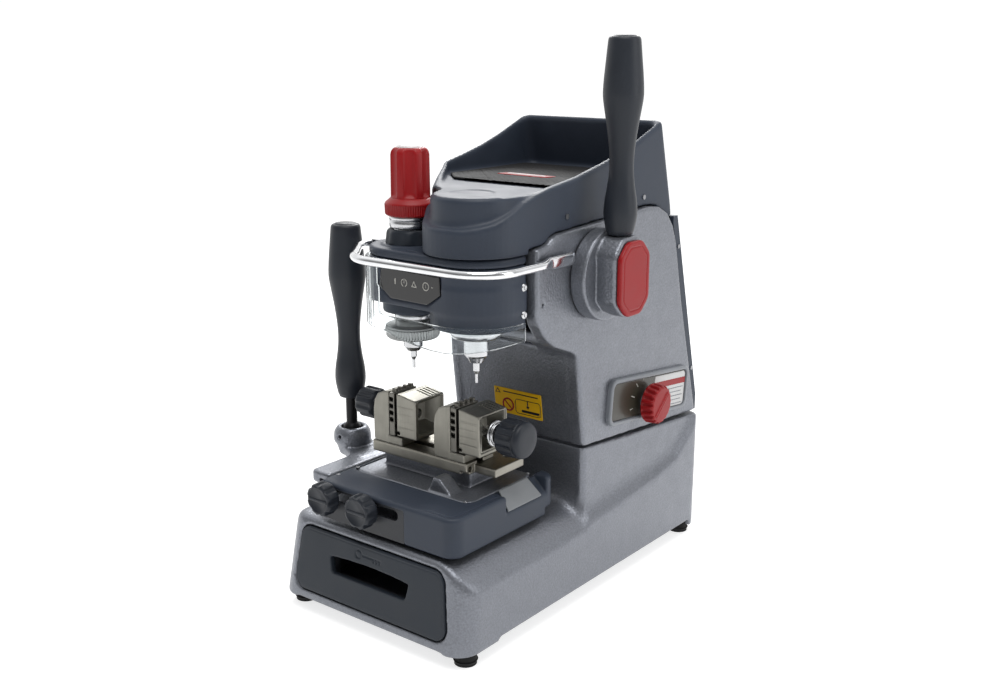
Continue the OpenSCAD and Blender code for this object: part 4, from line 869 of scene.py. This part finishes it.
    # two dome screws on the head's right end, four screws in the table
    for k, (yy_, zz_) in enumerate(((-98.5, 317.5), (-98.3, 293.5))):
        lathe("head_screw_%d" % k, [(0, 0.2), (0, 3.7), (0.5, 3.8), (1.3, 3.5), (1.9, 2.6), (2.1, 1.5), (1.5, 1.3), (1.5, 0.2)], (97.9, yy_, zz_), "x", "head", "turned", [], 32)
    for k, (x, y) in enumerate(((-61, -146), (-61.5, -171), (74.6, -150), (74.9, -60))):
        lathe("table_screw_%d" % k, [(-1, 0.2), (-1, 1.9), (0.25, 1.9), (0.5, 1.6), (0.5, 0.9), (0.1, 0.8), (0.1, 0.2)], (x, y, 131.9), "z", "carriage", "screw", [], 24)
    # scalloped nut and its ring
    lathe("tracer_nut", [(345.2, 16.2), (345.2, 22.4, 0.2), (345.8, 23.2, .9), (347, 23.4, 1.7), (354.4, 22.6, 1.9), (356.6, 22.0, 1.7), (358.0, 21.0, 1.0), (358.9, 19.9, 0.3), (359.2, 19.0), (359.2, 17.6), (357.4, 17.2), (357.4, 16.0)],
          o, "z", "head", "cover2", ["tracer_collar"], 160, 8, 0.5, math.radians(10), True)
    return lathe("tracer_sleeve", [(276, 9.3), (276, 15.8), (276.6, 16.5), (283.0, 16.6), (283.4, 15.9), (345.0, 15.9), (359.8, 15.6), (359.9, 13.8), (359.9, 9.3)],
                 o, "z", "head", "turned", [], 72)


# ------------------------------------------------------- front and panel
def make_drawer_front():
    g = Grid((-96, -207, 19), (96, -187, 88), 0.85)
    X = g.X
    yy, zz = drawer_local(g)
    out = hull2(X, zz, [(-81, 35, 12), (81, 35, 12), (-76, 73, 12), (76, 73, 12)])
    F = ext(out, slab(yy, 0.0, 6), 1.3)
    # fine step round the rim
    F = smax(F, -np.maximum(np.abs(out + 2.2) - 0.3, yy - 0.35), 0.3)
    # finger slot: arched top edge, slanted ends
    top = zz - (66.5 - 0.0011 * X * X)
    sl = np.maximum(np.maximum(top, 50 - 0.0006 * X * X * -1 - zz + 0.0), np.abs(X) - 49 + (66 - zz) * 0.22)
    sl = smax(smax(top, 48.6 - zz, 3), np.abs(X) - 49 + (66 - zz) * 0.22, 3)
    F = smax(F, -smax(sl, yy - 20, 0.1), 1.0)
    # plain key outline sunk into the face
    kz = 75.2
    key = np.minimum(np.abs(circ(X, zz, -13, kz, 3.6)) - 0.55, np.maximum(np.abs(zz - kz) - 0.7, np.abs(X - 2.5) - 11.8))
    for x0 in (6, 9.6, 13.2):
        key = np.minimum(key, np.maximum(np.abs(X - x0) - 0.6, np.abs(zz - kz + 1.5) - 1.5))
    F = smax(F, -np.maximum(key, yy - 0.8), 0.3)
    return solid("drawer_face", F, g, "drawer", "cover2", ["drawer_front"])


def panel_uv(g):
    a = math.radians(-6.1)
    u = (g.Y - 99) * math.cos(a) + (g.Z - 177) * math.sin(a)
    v = -(g.Y - 99) * math.sin(a) + (g.Z - 177) * math.cos(a)
    return u, v


def rr2(u, v, u0, v0, u1, v1, r):
    a, b = np.abs(u - (u0 + u1) / 2) - (u1 - u0) / 2 + r, np.abs(v - (v0 + v1) / 2) - (v1 - v0) / 2 + r
    return np.sqrt(np.maximum(a, 0) ** 2 + np.maximum(b, 0) ** 2) + np.minimum(np.maximum(a, b), 0) - r


def make_panel():
    g = Grid((103, 20, 142), (113, 178, 212), 0.7)
    u, v = panel_uv(g)
    F = ext(rr2(u, v, -75, -23, 75, 23, 9), slab(g.X, 104.2, 111), 1.8)
    F = smax(F, -np.maximum(rr2(u, v, -71, -19, 71, 19, 6), 108.5 - g.X), 0.8)
    F = np.minimum(F, ext(circ(g.Y, g.Z, 90, 172, 9), slab(g.X, 106, 112.4), 0.6))
    solid("panel_frame", F, g, "frame", "bezel", ["control_panel"])
    g = Grid((106, 24, 148), (110.6, 174, 206), 0.6)
    u, v = panel_uv(g)
    lab = rr2(u, v, -70.6, -18.6, 70.6, 18.6, 5.6)
    face = slab(g.X, 108.2, 109.2)
    solid("panel_label", ext(lab, face), g, "frame", "oliveblack", [])
    # white field on the right, with a red band; grey bars stand for print
    g2 = Grid((108.1, 94, 150), (110.4, 174, 206), 0.5)
    u, v = panel_uv(g2)
    lab = rr2(u, v, -70.6, -18.6, 69.6, 17.6, 4.6)
    white = smax(lab, (2 + 6 * (v + 18) / 36) - u, 0.1)
    solid("panel_label_white", np.maximum(white, slab(g2.X, 108.75, 109.5)), g2, "frame", "labelwhite", [])
    band = np.maximum(np.maximum(white, 4.6 - v), v - 11.0)
    solid("panel_label_band", np.maximum(band, slab(g2.X, 109.2, 109.8)), g2, "frame", "red", [])
    bars = None
    for i in range(5):
        b = np.maximum(np.abs(v - (1.0 - 4.2 * i)) - 0.55, np.abs(u - 47) - (19 - 3 * (i % 2)))
        bars = b if bars is None else np.minimum(bars, b)
    solid("panel_label_bars", np.maximum(bars, slab(g2.X, 109.2, 109.75)), g2, "frame", "bezel", [])
    # ticks round the knob
    g3 = Grid((108.6, 40, 146), (110.4, 112, 202), 0.5)
    t = None
    for k, ang in enumerate((100, 128, 156, 184, 212)):
        a = math.radians(ang)
        cy, cz = 90 + 26 * math.cos(a), 172 + 26 * math.sin(a)
        pu = (g3.Y - cy) * math.cos(a) + (g3.Z - cz) * math.sin(a)
        pv = -(g3.Y - cy) * math.sin(a) + (g3.Z - cz) * math.cos(a)
        b = np.maximum(np.abs(pu) - (2.6 if k != 2 else 3.6), np.abs(pv) - 0.6)
        t = b if t is None else np.minimum(t, b)
    return solid("panel_ticks", np.maximum(t, slab(g3.X, 109.0, 109.6)), g3, "frame", "mark", [])


def make_mat():
    g = Grid((-63, -38, 393.6), (90, 116, 399), 0.85)
    X, Y, Z = g.X, g.Y, g.Z
    out = hull2(X, Y, [(-52, -8, 6), (-55, 108, 6), (76, 104, 6), (82, -48, 6), (-30, -30, 6)])
    F = ext(out, slab(Z, 395.05, 397.7), 0.8)
    # diamond relief inside a plain rim
    p, q = (X + Y) / 7.0, (X - Y) / 7.0
    fp, fq = np.abs(p - np.round(p)), np.abs(q - np.round(q))
    relief = np.clip((0.5 - np.maximum(fp, fq)) * 7.0 - 0.8, -1, 0)
    top = Z - (397.7 + 0.9 * relief * (out < -4.5) * (circ(X, Y, 12, 10, 0) > -1))
    F = np.maximum(F, top)
    solid("tray_mat", F, g, "frame", "rubber", ["storage_mat"])
    # plain badge: a red lozenge with a pale stripe
    g = Grid((-22, 0, 395.6), (52, 30, 399.4), 0.6)
    c, s_ = math.cos(math.radians(-2)), math.sin(math.radians(-2))
    u = (g.X - 15) * c + (g.Y - 15) * s_
    v = -(g.X - 15) * s_ + (g.Y - 15) * c
    b = smax(np.abs(u - 0.35 * v) - 29, np.abs(v) - 6.2, 1)
    solid("mat_badge", ext(b, slab(g.Z, 396.2, 398.3), 0.4), g, "frame", "red", [])
    b2 = smax(np.abs(u - 0.35 * v) - 22, np.abs(v) - 1.5, 0.4)
    return solid("mat_badge_stripe", ext(b2, slab(g.Z, 397.5, 398.7), 0.2), g, "frame", "labelwhite", [])


def make_safety_plate():
    """blank-worded pictogram plate on the front of the column"""
    g = Grid((1, -24, 166), (62, -13, 198), 0.4)
    X, Y, Z = g.X, g.Y, g.Z
    n = -(Y + 16.1) * 0.991 - (Z - 168.3) * 0.131      # out of the leaning face
    v = (Z - 181.7) / 0.991
    u = X - 31.5
    edge = smax(np.abs(u) - 28.5, np.abs(v) - 13.4, 0.6)
    solid("safety_plate", np.maximum(edge, slab(n, -0.6, 0.55)), g, "frame", "yellow", [])
    ring = np.abs(circ(u, v, -12, -3.5, 6.2)) - 0.9
    slash = np.maximum(np.abs((u + 12) * 0.707 + (v + 3.5) * 0.707) - 0.7, circ(u, v, -12, -3.5, 6.2))
    ring = np.minimum(ring, slash)
    solid("safety_plate_ring", np.maximum(ring, slab(n, 0.3, 0.95)), g, "frame", "red", [])
    tri = poly(u, v, [(-27.2, 7.2), (-20.4, 7.2), (-23.8, 12.4)])
    m = np.maximum(tri, -(tri + 0.8))
    m = np.minimum(m, np.maximum(np.abs(rr2(u, v, -3, -10.5, 27, 4.2, 3)) - 0.4, -1))
    m = np.minimum(m, np.maximum(np.abs(u - 12) - 0.7, np.abs(v - 1.2) - 3.4))
    m = np.minimum(m, poly(u, v, [(9.8, -1.6), (14.2, -1.6), (12, -4.6)]))
    m = np.minimum(m, rr2(u, v, 4, -8.6, 25.5, -5.8, 1.4))
    m = np.minimum(m, np.maximum(np.abs(v - 9.6) - 0.7, np.abs(u - 4) - 21))
    return solid("safety_plate_marks", np.maximum(m, slab(n, 0.3, 0.9)), g, "frame", "black", [])

# ------------------------------------------------------------------- vises
def make_vises():
    J0, J1, T = -128.0, -88.0, 207.0
    for side, gx, body, jaw in (("left", -28.0, "carriage", "left_jaw"), ("right", 47.0, "carriage", "right_jaw")):
        g = Grid((gx - 30, J0 - 2, 154), (gx + 9, J1 + 2, T + 2), 0.62)
        X, Y, Z = g.X - gx, g.Y, g.Z
        pr = poly(X, Z, [(-28, 156), (-28, 187), (-26.5, 196), (-22, 203), (-15, T - 1), (-8.5, T), (-8.5, 156)])
        F = ext(pr, slab(Y, J0, J1), 0.7)
        foot = rbox(g, (gx - 12, J0, 156), (gx + 7.5, J1, 164), 0.7)
        F = smin(F, foot, 0.8)
        # rounded back of the top and a rounded heel
        F = smax(F, -(J1 - 14 - Y + 0.0) * 0.72 + (Z - (T - 2.5)) * 0.9 - 0, 3)
        F = smax(F, -ext(circ(Y, Z, -108, 184, 4.4), slab(X, -40, 20)), 0.3)
        # counterbore for the screw collar
        F = smax(F, -ext(circ(Y, Z, -108, 184, 12.6), slab(X, -40, -27.2)), 0.5) if side == "left" else F
        # slanted relief at the lower left of the body
        F = smax(F, -poly(X, Z, [(-40, 150), (-24, 150), (-28.6, 160), (-40, 160)]), 1)
        solid(side + "_vise_block", F, g, body, "nickel", [side + "_vise_body"] + (["jaw_inserts"] if side == "left" else []))
        # fixed jaw insert: grooves cut down its front edge, teeth on its top
        g = Grid((gx - 10, J0 - 2, 162), (gx, J1 + 2, T + 5), 0.5)
        X, Y, Z = g.X - gx, g.Y, g.Z
        F = rbox(g, (gx - 8, J0 + 0.2, 164.4), (gx - 1.6, J1 - 8.5, T - 0.8), 0.5)
        F = np.minimum(F, rbox(g, (gx - 8, J0 + 0.2, 164.4), (gx - 1.6, J1, T - 9.5), 0.5))
        for i in range(4):
            F = smin(F, rbox(g, (gx - 7.2, -124 + i * 7, T - 2.5), (gx - 2.4, -120.4 + i * 7, T + 2.6), 0.6), 0.6)
        for i in range(4):
            F = smax(F, -rbox(g, (gx - 7.4, J0 - 4, 178 + i * 6.6), (gx - 3.0, J1 + 3, 182 + i * 6.6), 0.4), 0.5)
            F = smax(F, -rbox(g, (gx - 12, J0 - 4, 179.4 + i * 6.6), (gx - 6.2, J0 + 3.5, 182 + i * 6.6), 0.3), 0.4)
        F = np.maximum(F, -ext(circ(Y, Z, -108, 184, 4.4), slab(X, -40, 20)))
        solid(side + "_jaw_insert", F, g, body, "nickel_dark", [])
        # moving jaw with its stepped pyramid recess
        g = Grid((gx, J0 - 2, 163), (gx + 27.5, J1 + 2, T + 1), 0.62)
        X, Y, Z = g.X - gx, g.Y, g.Z
        pr = poly(X, Z, [(1.6, 165.3), (1.6, T - 1), (6, T - 1), (24, T - 4), (25.4, T - 5.6), (25.4, 165.3)])
        F = ext(pr, slab(Y, J0, J1), 0.8)
        d = np.maximum(np.abs(Y + 108), np.abs(Z - 186))
        F = smax(F, -np.maximum(d - 16 + (25.6 - X) * 0.52, 11 - X), 0.8)
        F = smax(F, -np.maximum(np.abs(d - 16.8) - 0.5, 24.6 - X), 0.4)
        for i in range(4):
            F = smax(F, -rbox(g, (gx + 7, -106 + i * 4.4, T - 4.8), (gx + 30, -105 + i * 4.4, T + 2), 0.3), 0.4)
            F = smax(F, -rbox(g, (gx + 3, J0 - 2, 174 + i * 7.0), (gx + 22, J0 + 0.45, 174.45 + i * 7.0), 0.2), 0.2)
        F = smax(F, -rbox(g, (gx - 1, J0 - 3, 167), (gx + 5, J0 + 5, 169.5), 0.3), 0.5)
        F = np.maximum(F, -ext(circ(Y, Z, -108, 184, 4.4), slab(X, -10, 40)))
        solid(side + "_jaw_slider", F, g, jaw, "nickel", [side + "_moving_jaw"])
    # bed: long front bar, T slot, raised rear rail
    g = Grid((-60, -130, 143), (83, -72, 158), 0.8)
    X, Y, Z = g.X, g.Y, g.Z
    F = rbox(g, (-58, J0, 145), (57, J1, 156), 0.9)
    F = np.minimum(F, rbox(g, (-58, J1 - 2, 145), (81, J1 + 14, 153), 0.9))
    F = np.minimum(F, rbox(g, (56, J0 + 12, 145), (81, J1 + 2, 153), 0.9))
    F = smax(F, -rbox(g, (-62, J0 + 16, 152), (59, J0 + 24, 160), 0.4), 0.5)
    F = smax(F, -ext(circ(Y, Z, J0 + 6, 150, 2.5), slab(X, 51, 60)), 0.4)
    F = smax(F, -rbox(g, (50, J0 - 4, 143), (58.6, J0 + 4, 148.2), 0.4), 0.4)
    for x in (-50, 66):
        F = smax(F, -np.maximum(circ(X, Y, x, -81, 3.4), 149.4 - Z), 0.4)
    solid("vise_base", F, g, "carriage", "bed", ["vise_bed"])
    # clamp screws with turned collars
    lathe("left_screw", [(-36, 0.3), (-36, 4), (10, 4), (10, 0.3)], (-28, -108, 184), "x", "left_clamp", "turned", ["left_clamp_screw"], 32)
    lathe("left_screw_collar", [(-28.4, 4), (-28.4, 11.6), (-28.8, 12), (-31.4, 12), (-31.8, 11.5), (-32.4, 9.6), (-33.2, 9.0), (-34.4, 8.6), (-35.4, 9.0), (-36, 9.8), (-37.8, 10.0), (-38, 9.6), (-38, 4)], (-28, -108, 184), "x", "left_clamp", "turned", [], 64)
    lathe("right_screw", [(-16, 0.3), (-16, 4), (37, 4), (37, 0.3)], (47, -108, 184), "x", "right_clamp", "turned", ["right_clamp_screw"], 32)
    return lathe("right_screw_collar", [(18, 4), (18, 6.2), (25.7, 6.2), (26, 11.2), (26.5, 12), (28.8, 12.1), (29.3, 11.4), (29.6, 10.0), (30.2, 9.8), (30.6, 10.9), (32.2, 10.9), (32.6, 10), (33.0, 8.2), (34.2, 7.6), (35.4, 8.4), (36.8, 8.6), (36.9, 4)], (47, -108, 184), "x", "right_clamp", "turned", [], 64)


def finish_cad():
    """soft edges on the nodes that still show as built"""
    done = 0
    for n, o in NODES.items():
        if n in BARE:
            bevel(o, BARE[n], 2, 30)
            done += 1
    return None


BARE = {"rear_cover": 0.9, "table_front_plate": 0.6, "saddle": 1.0, "rubber_feet": 1.2, "pivot_bracket": 0.6, "drawer_tray": 0.5,
        "linear_rails": 0.4, "x_rails": 0.4, "y_bearing_blocks": 0.5, "x_bearing_blocks": 0.5, "power_inlet": 0.5, "rocker_switch": 0.6,
        "cover_screws": 0.35, "cutter": 0.15, "tracer_quill": 0.25, "joystick_rod": 0.3}

import time
def timed(f):
    t = time.time(); r = f(); print("MADE", f.__name__, round(time.time() - t, 1), len(r.data.polygons) if hasattr(r, "data") else ""); return r
for f in (make_base, make_upper_casting, make_upper_cover, make_head, make_icon_panel, make_table, make_fold_plate, make_carriage, make_hub, make_bar, make_guard, make_grips, make_knobs, make_drawer_front, make_panel, make_mat, make_safety_plate, make_vises, finish_cad):
    timed(f)

# ---------------------------------------------------------------- stage
floor_m = Mat("floor_pale", (0.5, 0.5, 0.5, 1), 0.8, 0.0, 0.0)
floor_m.vary(floor_m.noise(3, 2.0), 0.99, 1.01)
floor_m.b.inputs["Emission Color"].default_value = (1, 1, 1, 1)
floor_m.b.inputs["Emission Strength"].default_value = 0.72
bm = bmesh.new()
bmesh.ops.create_grid(bm, x_segments=1, y_segments=1, size=60)
me = bpy.data.meshes.new("floor")
bm.to_mesh(me); bm.free()
floor = bpy.data.objects.new("floor", me)
COL.objects.link(floor)
floor.data.materials.append(floor_m.m)

w = bpy.data.worlds.new("studio")
bpy.context.scene.world = w
w.use_nodes = True
nt = w.node_tree
bg = nt.nodes["Background"]
# white behind the machine, dimmer towards the viewer, bright overhead
co = nt.nodes.new("ShaderNodeTexCoord")
dot = nt.nodes.new("ShaderNodeVectorMath")
dot.operation = "DOT_PRODUCT"
dot.inputs[1].default_value = (-0.618, 0.786, 0.0)
nt.links.new(co.outputs["Generated"], dot.inputs[0])
mr = nt.nodes.new("ShaderNodeMapRange")
for k, v in (("From Min", -0.1), ("From Max", 0.45), ("To Min", 0.22), ("To Max", 1.03)):
    mr.inputs[k].default_value = v
nt.links.new(dot.outputs["Value"], mr.inputs["Value"])
up = nt.nodes.new("ShaderNodeVectorMath")
up.operation = "DOT_PRODUCT"
up.inputs[1].default_value = (0.0, 0.0, 1.0)
nt.links.new(co.outputs["Generated"], up.inputs[0])
mu = nt.nodes.new("ShaderNodeMapRange")
for k, v in (("From Min", 0.45), ("From Max", 0.95), ("To Min", 0.0), ("To Max", 0.5)):
    mu.inputs[k].default_value = v
nt.links.new(up.outputs["Value"], mu.inputs["Value"])
ad = nt.nodes.new("ShaderNodeMath")
ad.operation = "ADD"
nt.links.new(mr.outputs["Result"], ad.inputs[0])
nt.links.new(mu.outputs["Result"], ad.inputs[1])
bg.inputs["Color"].default_value = (1, 1, 1, 1)
nt.links.new(ad.outputs["Value"], bg.inputs["Strength"])


def light(name, loc, target, size, power, color=(1, 1, 1)):
    d = bpy.data.lights.new(name, "AREA")
    d.shape = "RECTANGLE"
    d.size, d.size_y = size
    d.energy, d.color = power, color
    o = bpy.data.objects.new(name, d)
    COL.objects.link(o)
    o.location = loc
    o.rotation_mode = "QUATERNION"
    o.rotation_quaternion = (Vector(target) - Vector(loc)).to_track_quat("-Z", "Y")
    return o


light("key", (0.35, -0.35, 1.7), (0, 0, 0.2), (1.0, 1.0), 13)
light("side", (1.7, 0.5, 0.9), (0, 0, 0.25), (0.8, 1.4), 8)
light("back", (-0.9, 1.3, 1.3), (0, 0, 0.3), (1.0, 0.6), 17)

cam_d = bpy.data.cameras.new("camera")
cam = bpy.data.objects.new("camera", cam_d)
COL.objects.link(cam)
cam_d.sensor_width = 36
cam_d.lens = 1169 / 1000 * 36
cam_d.clip_start, cam_d.clip_end = 0.05, 50
cam.location = (0.67875, -0.8785, 0.520)
az, pitch = math.radians(38.15), math.radians(14.74)
fw = Vector((-math.sin(az) * math.cos(pitch), math.cos(az) * math.cos(pitch), -math.sin(pitch)))
cam.rotation_mode = "QUATERNION"
cam.rotation_quaternion = fw.to_track_quat("-Z", "Y")
bpy.context.scene.camera = cam
bpy.context.scene.view_settings.view_transform = "Standard"
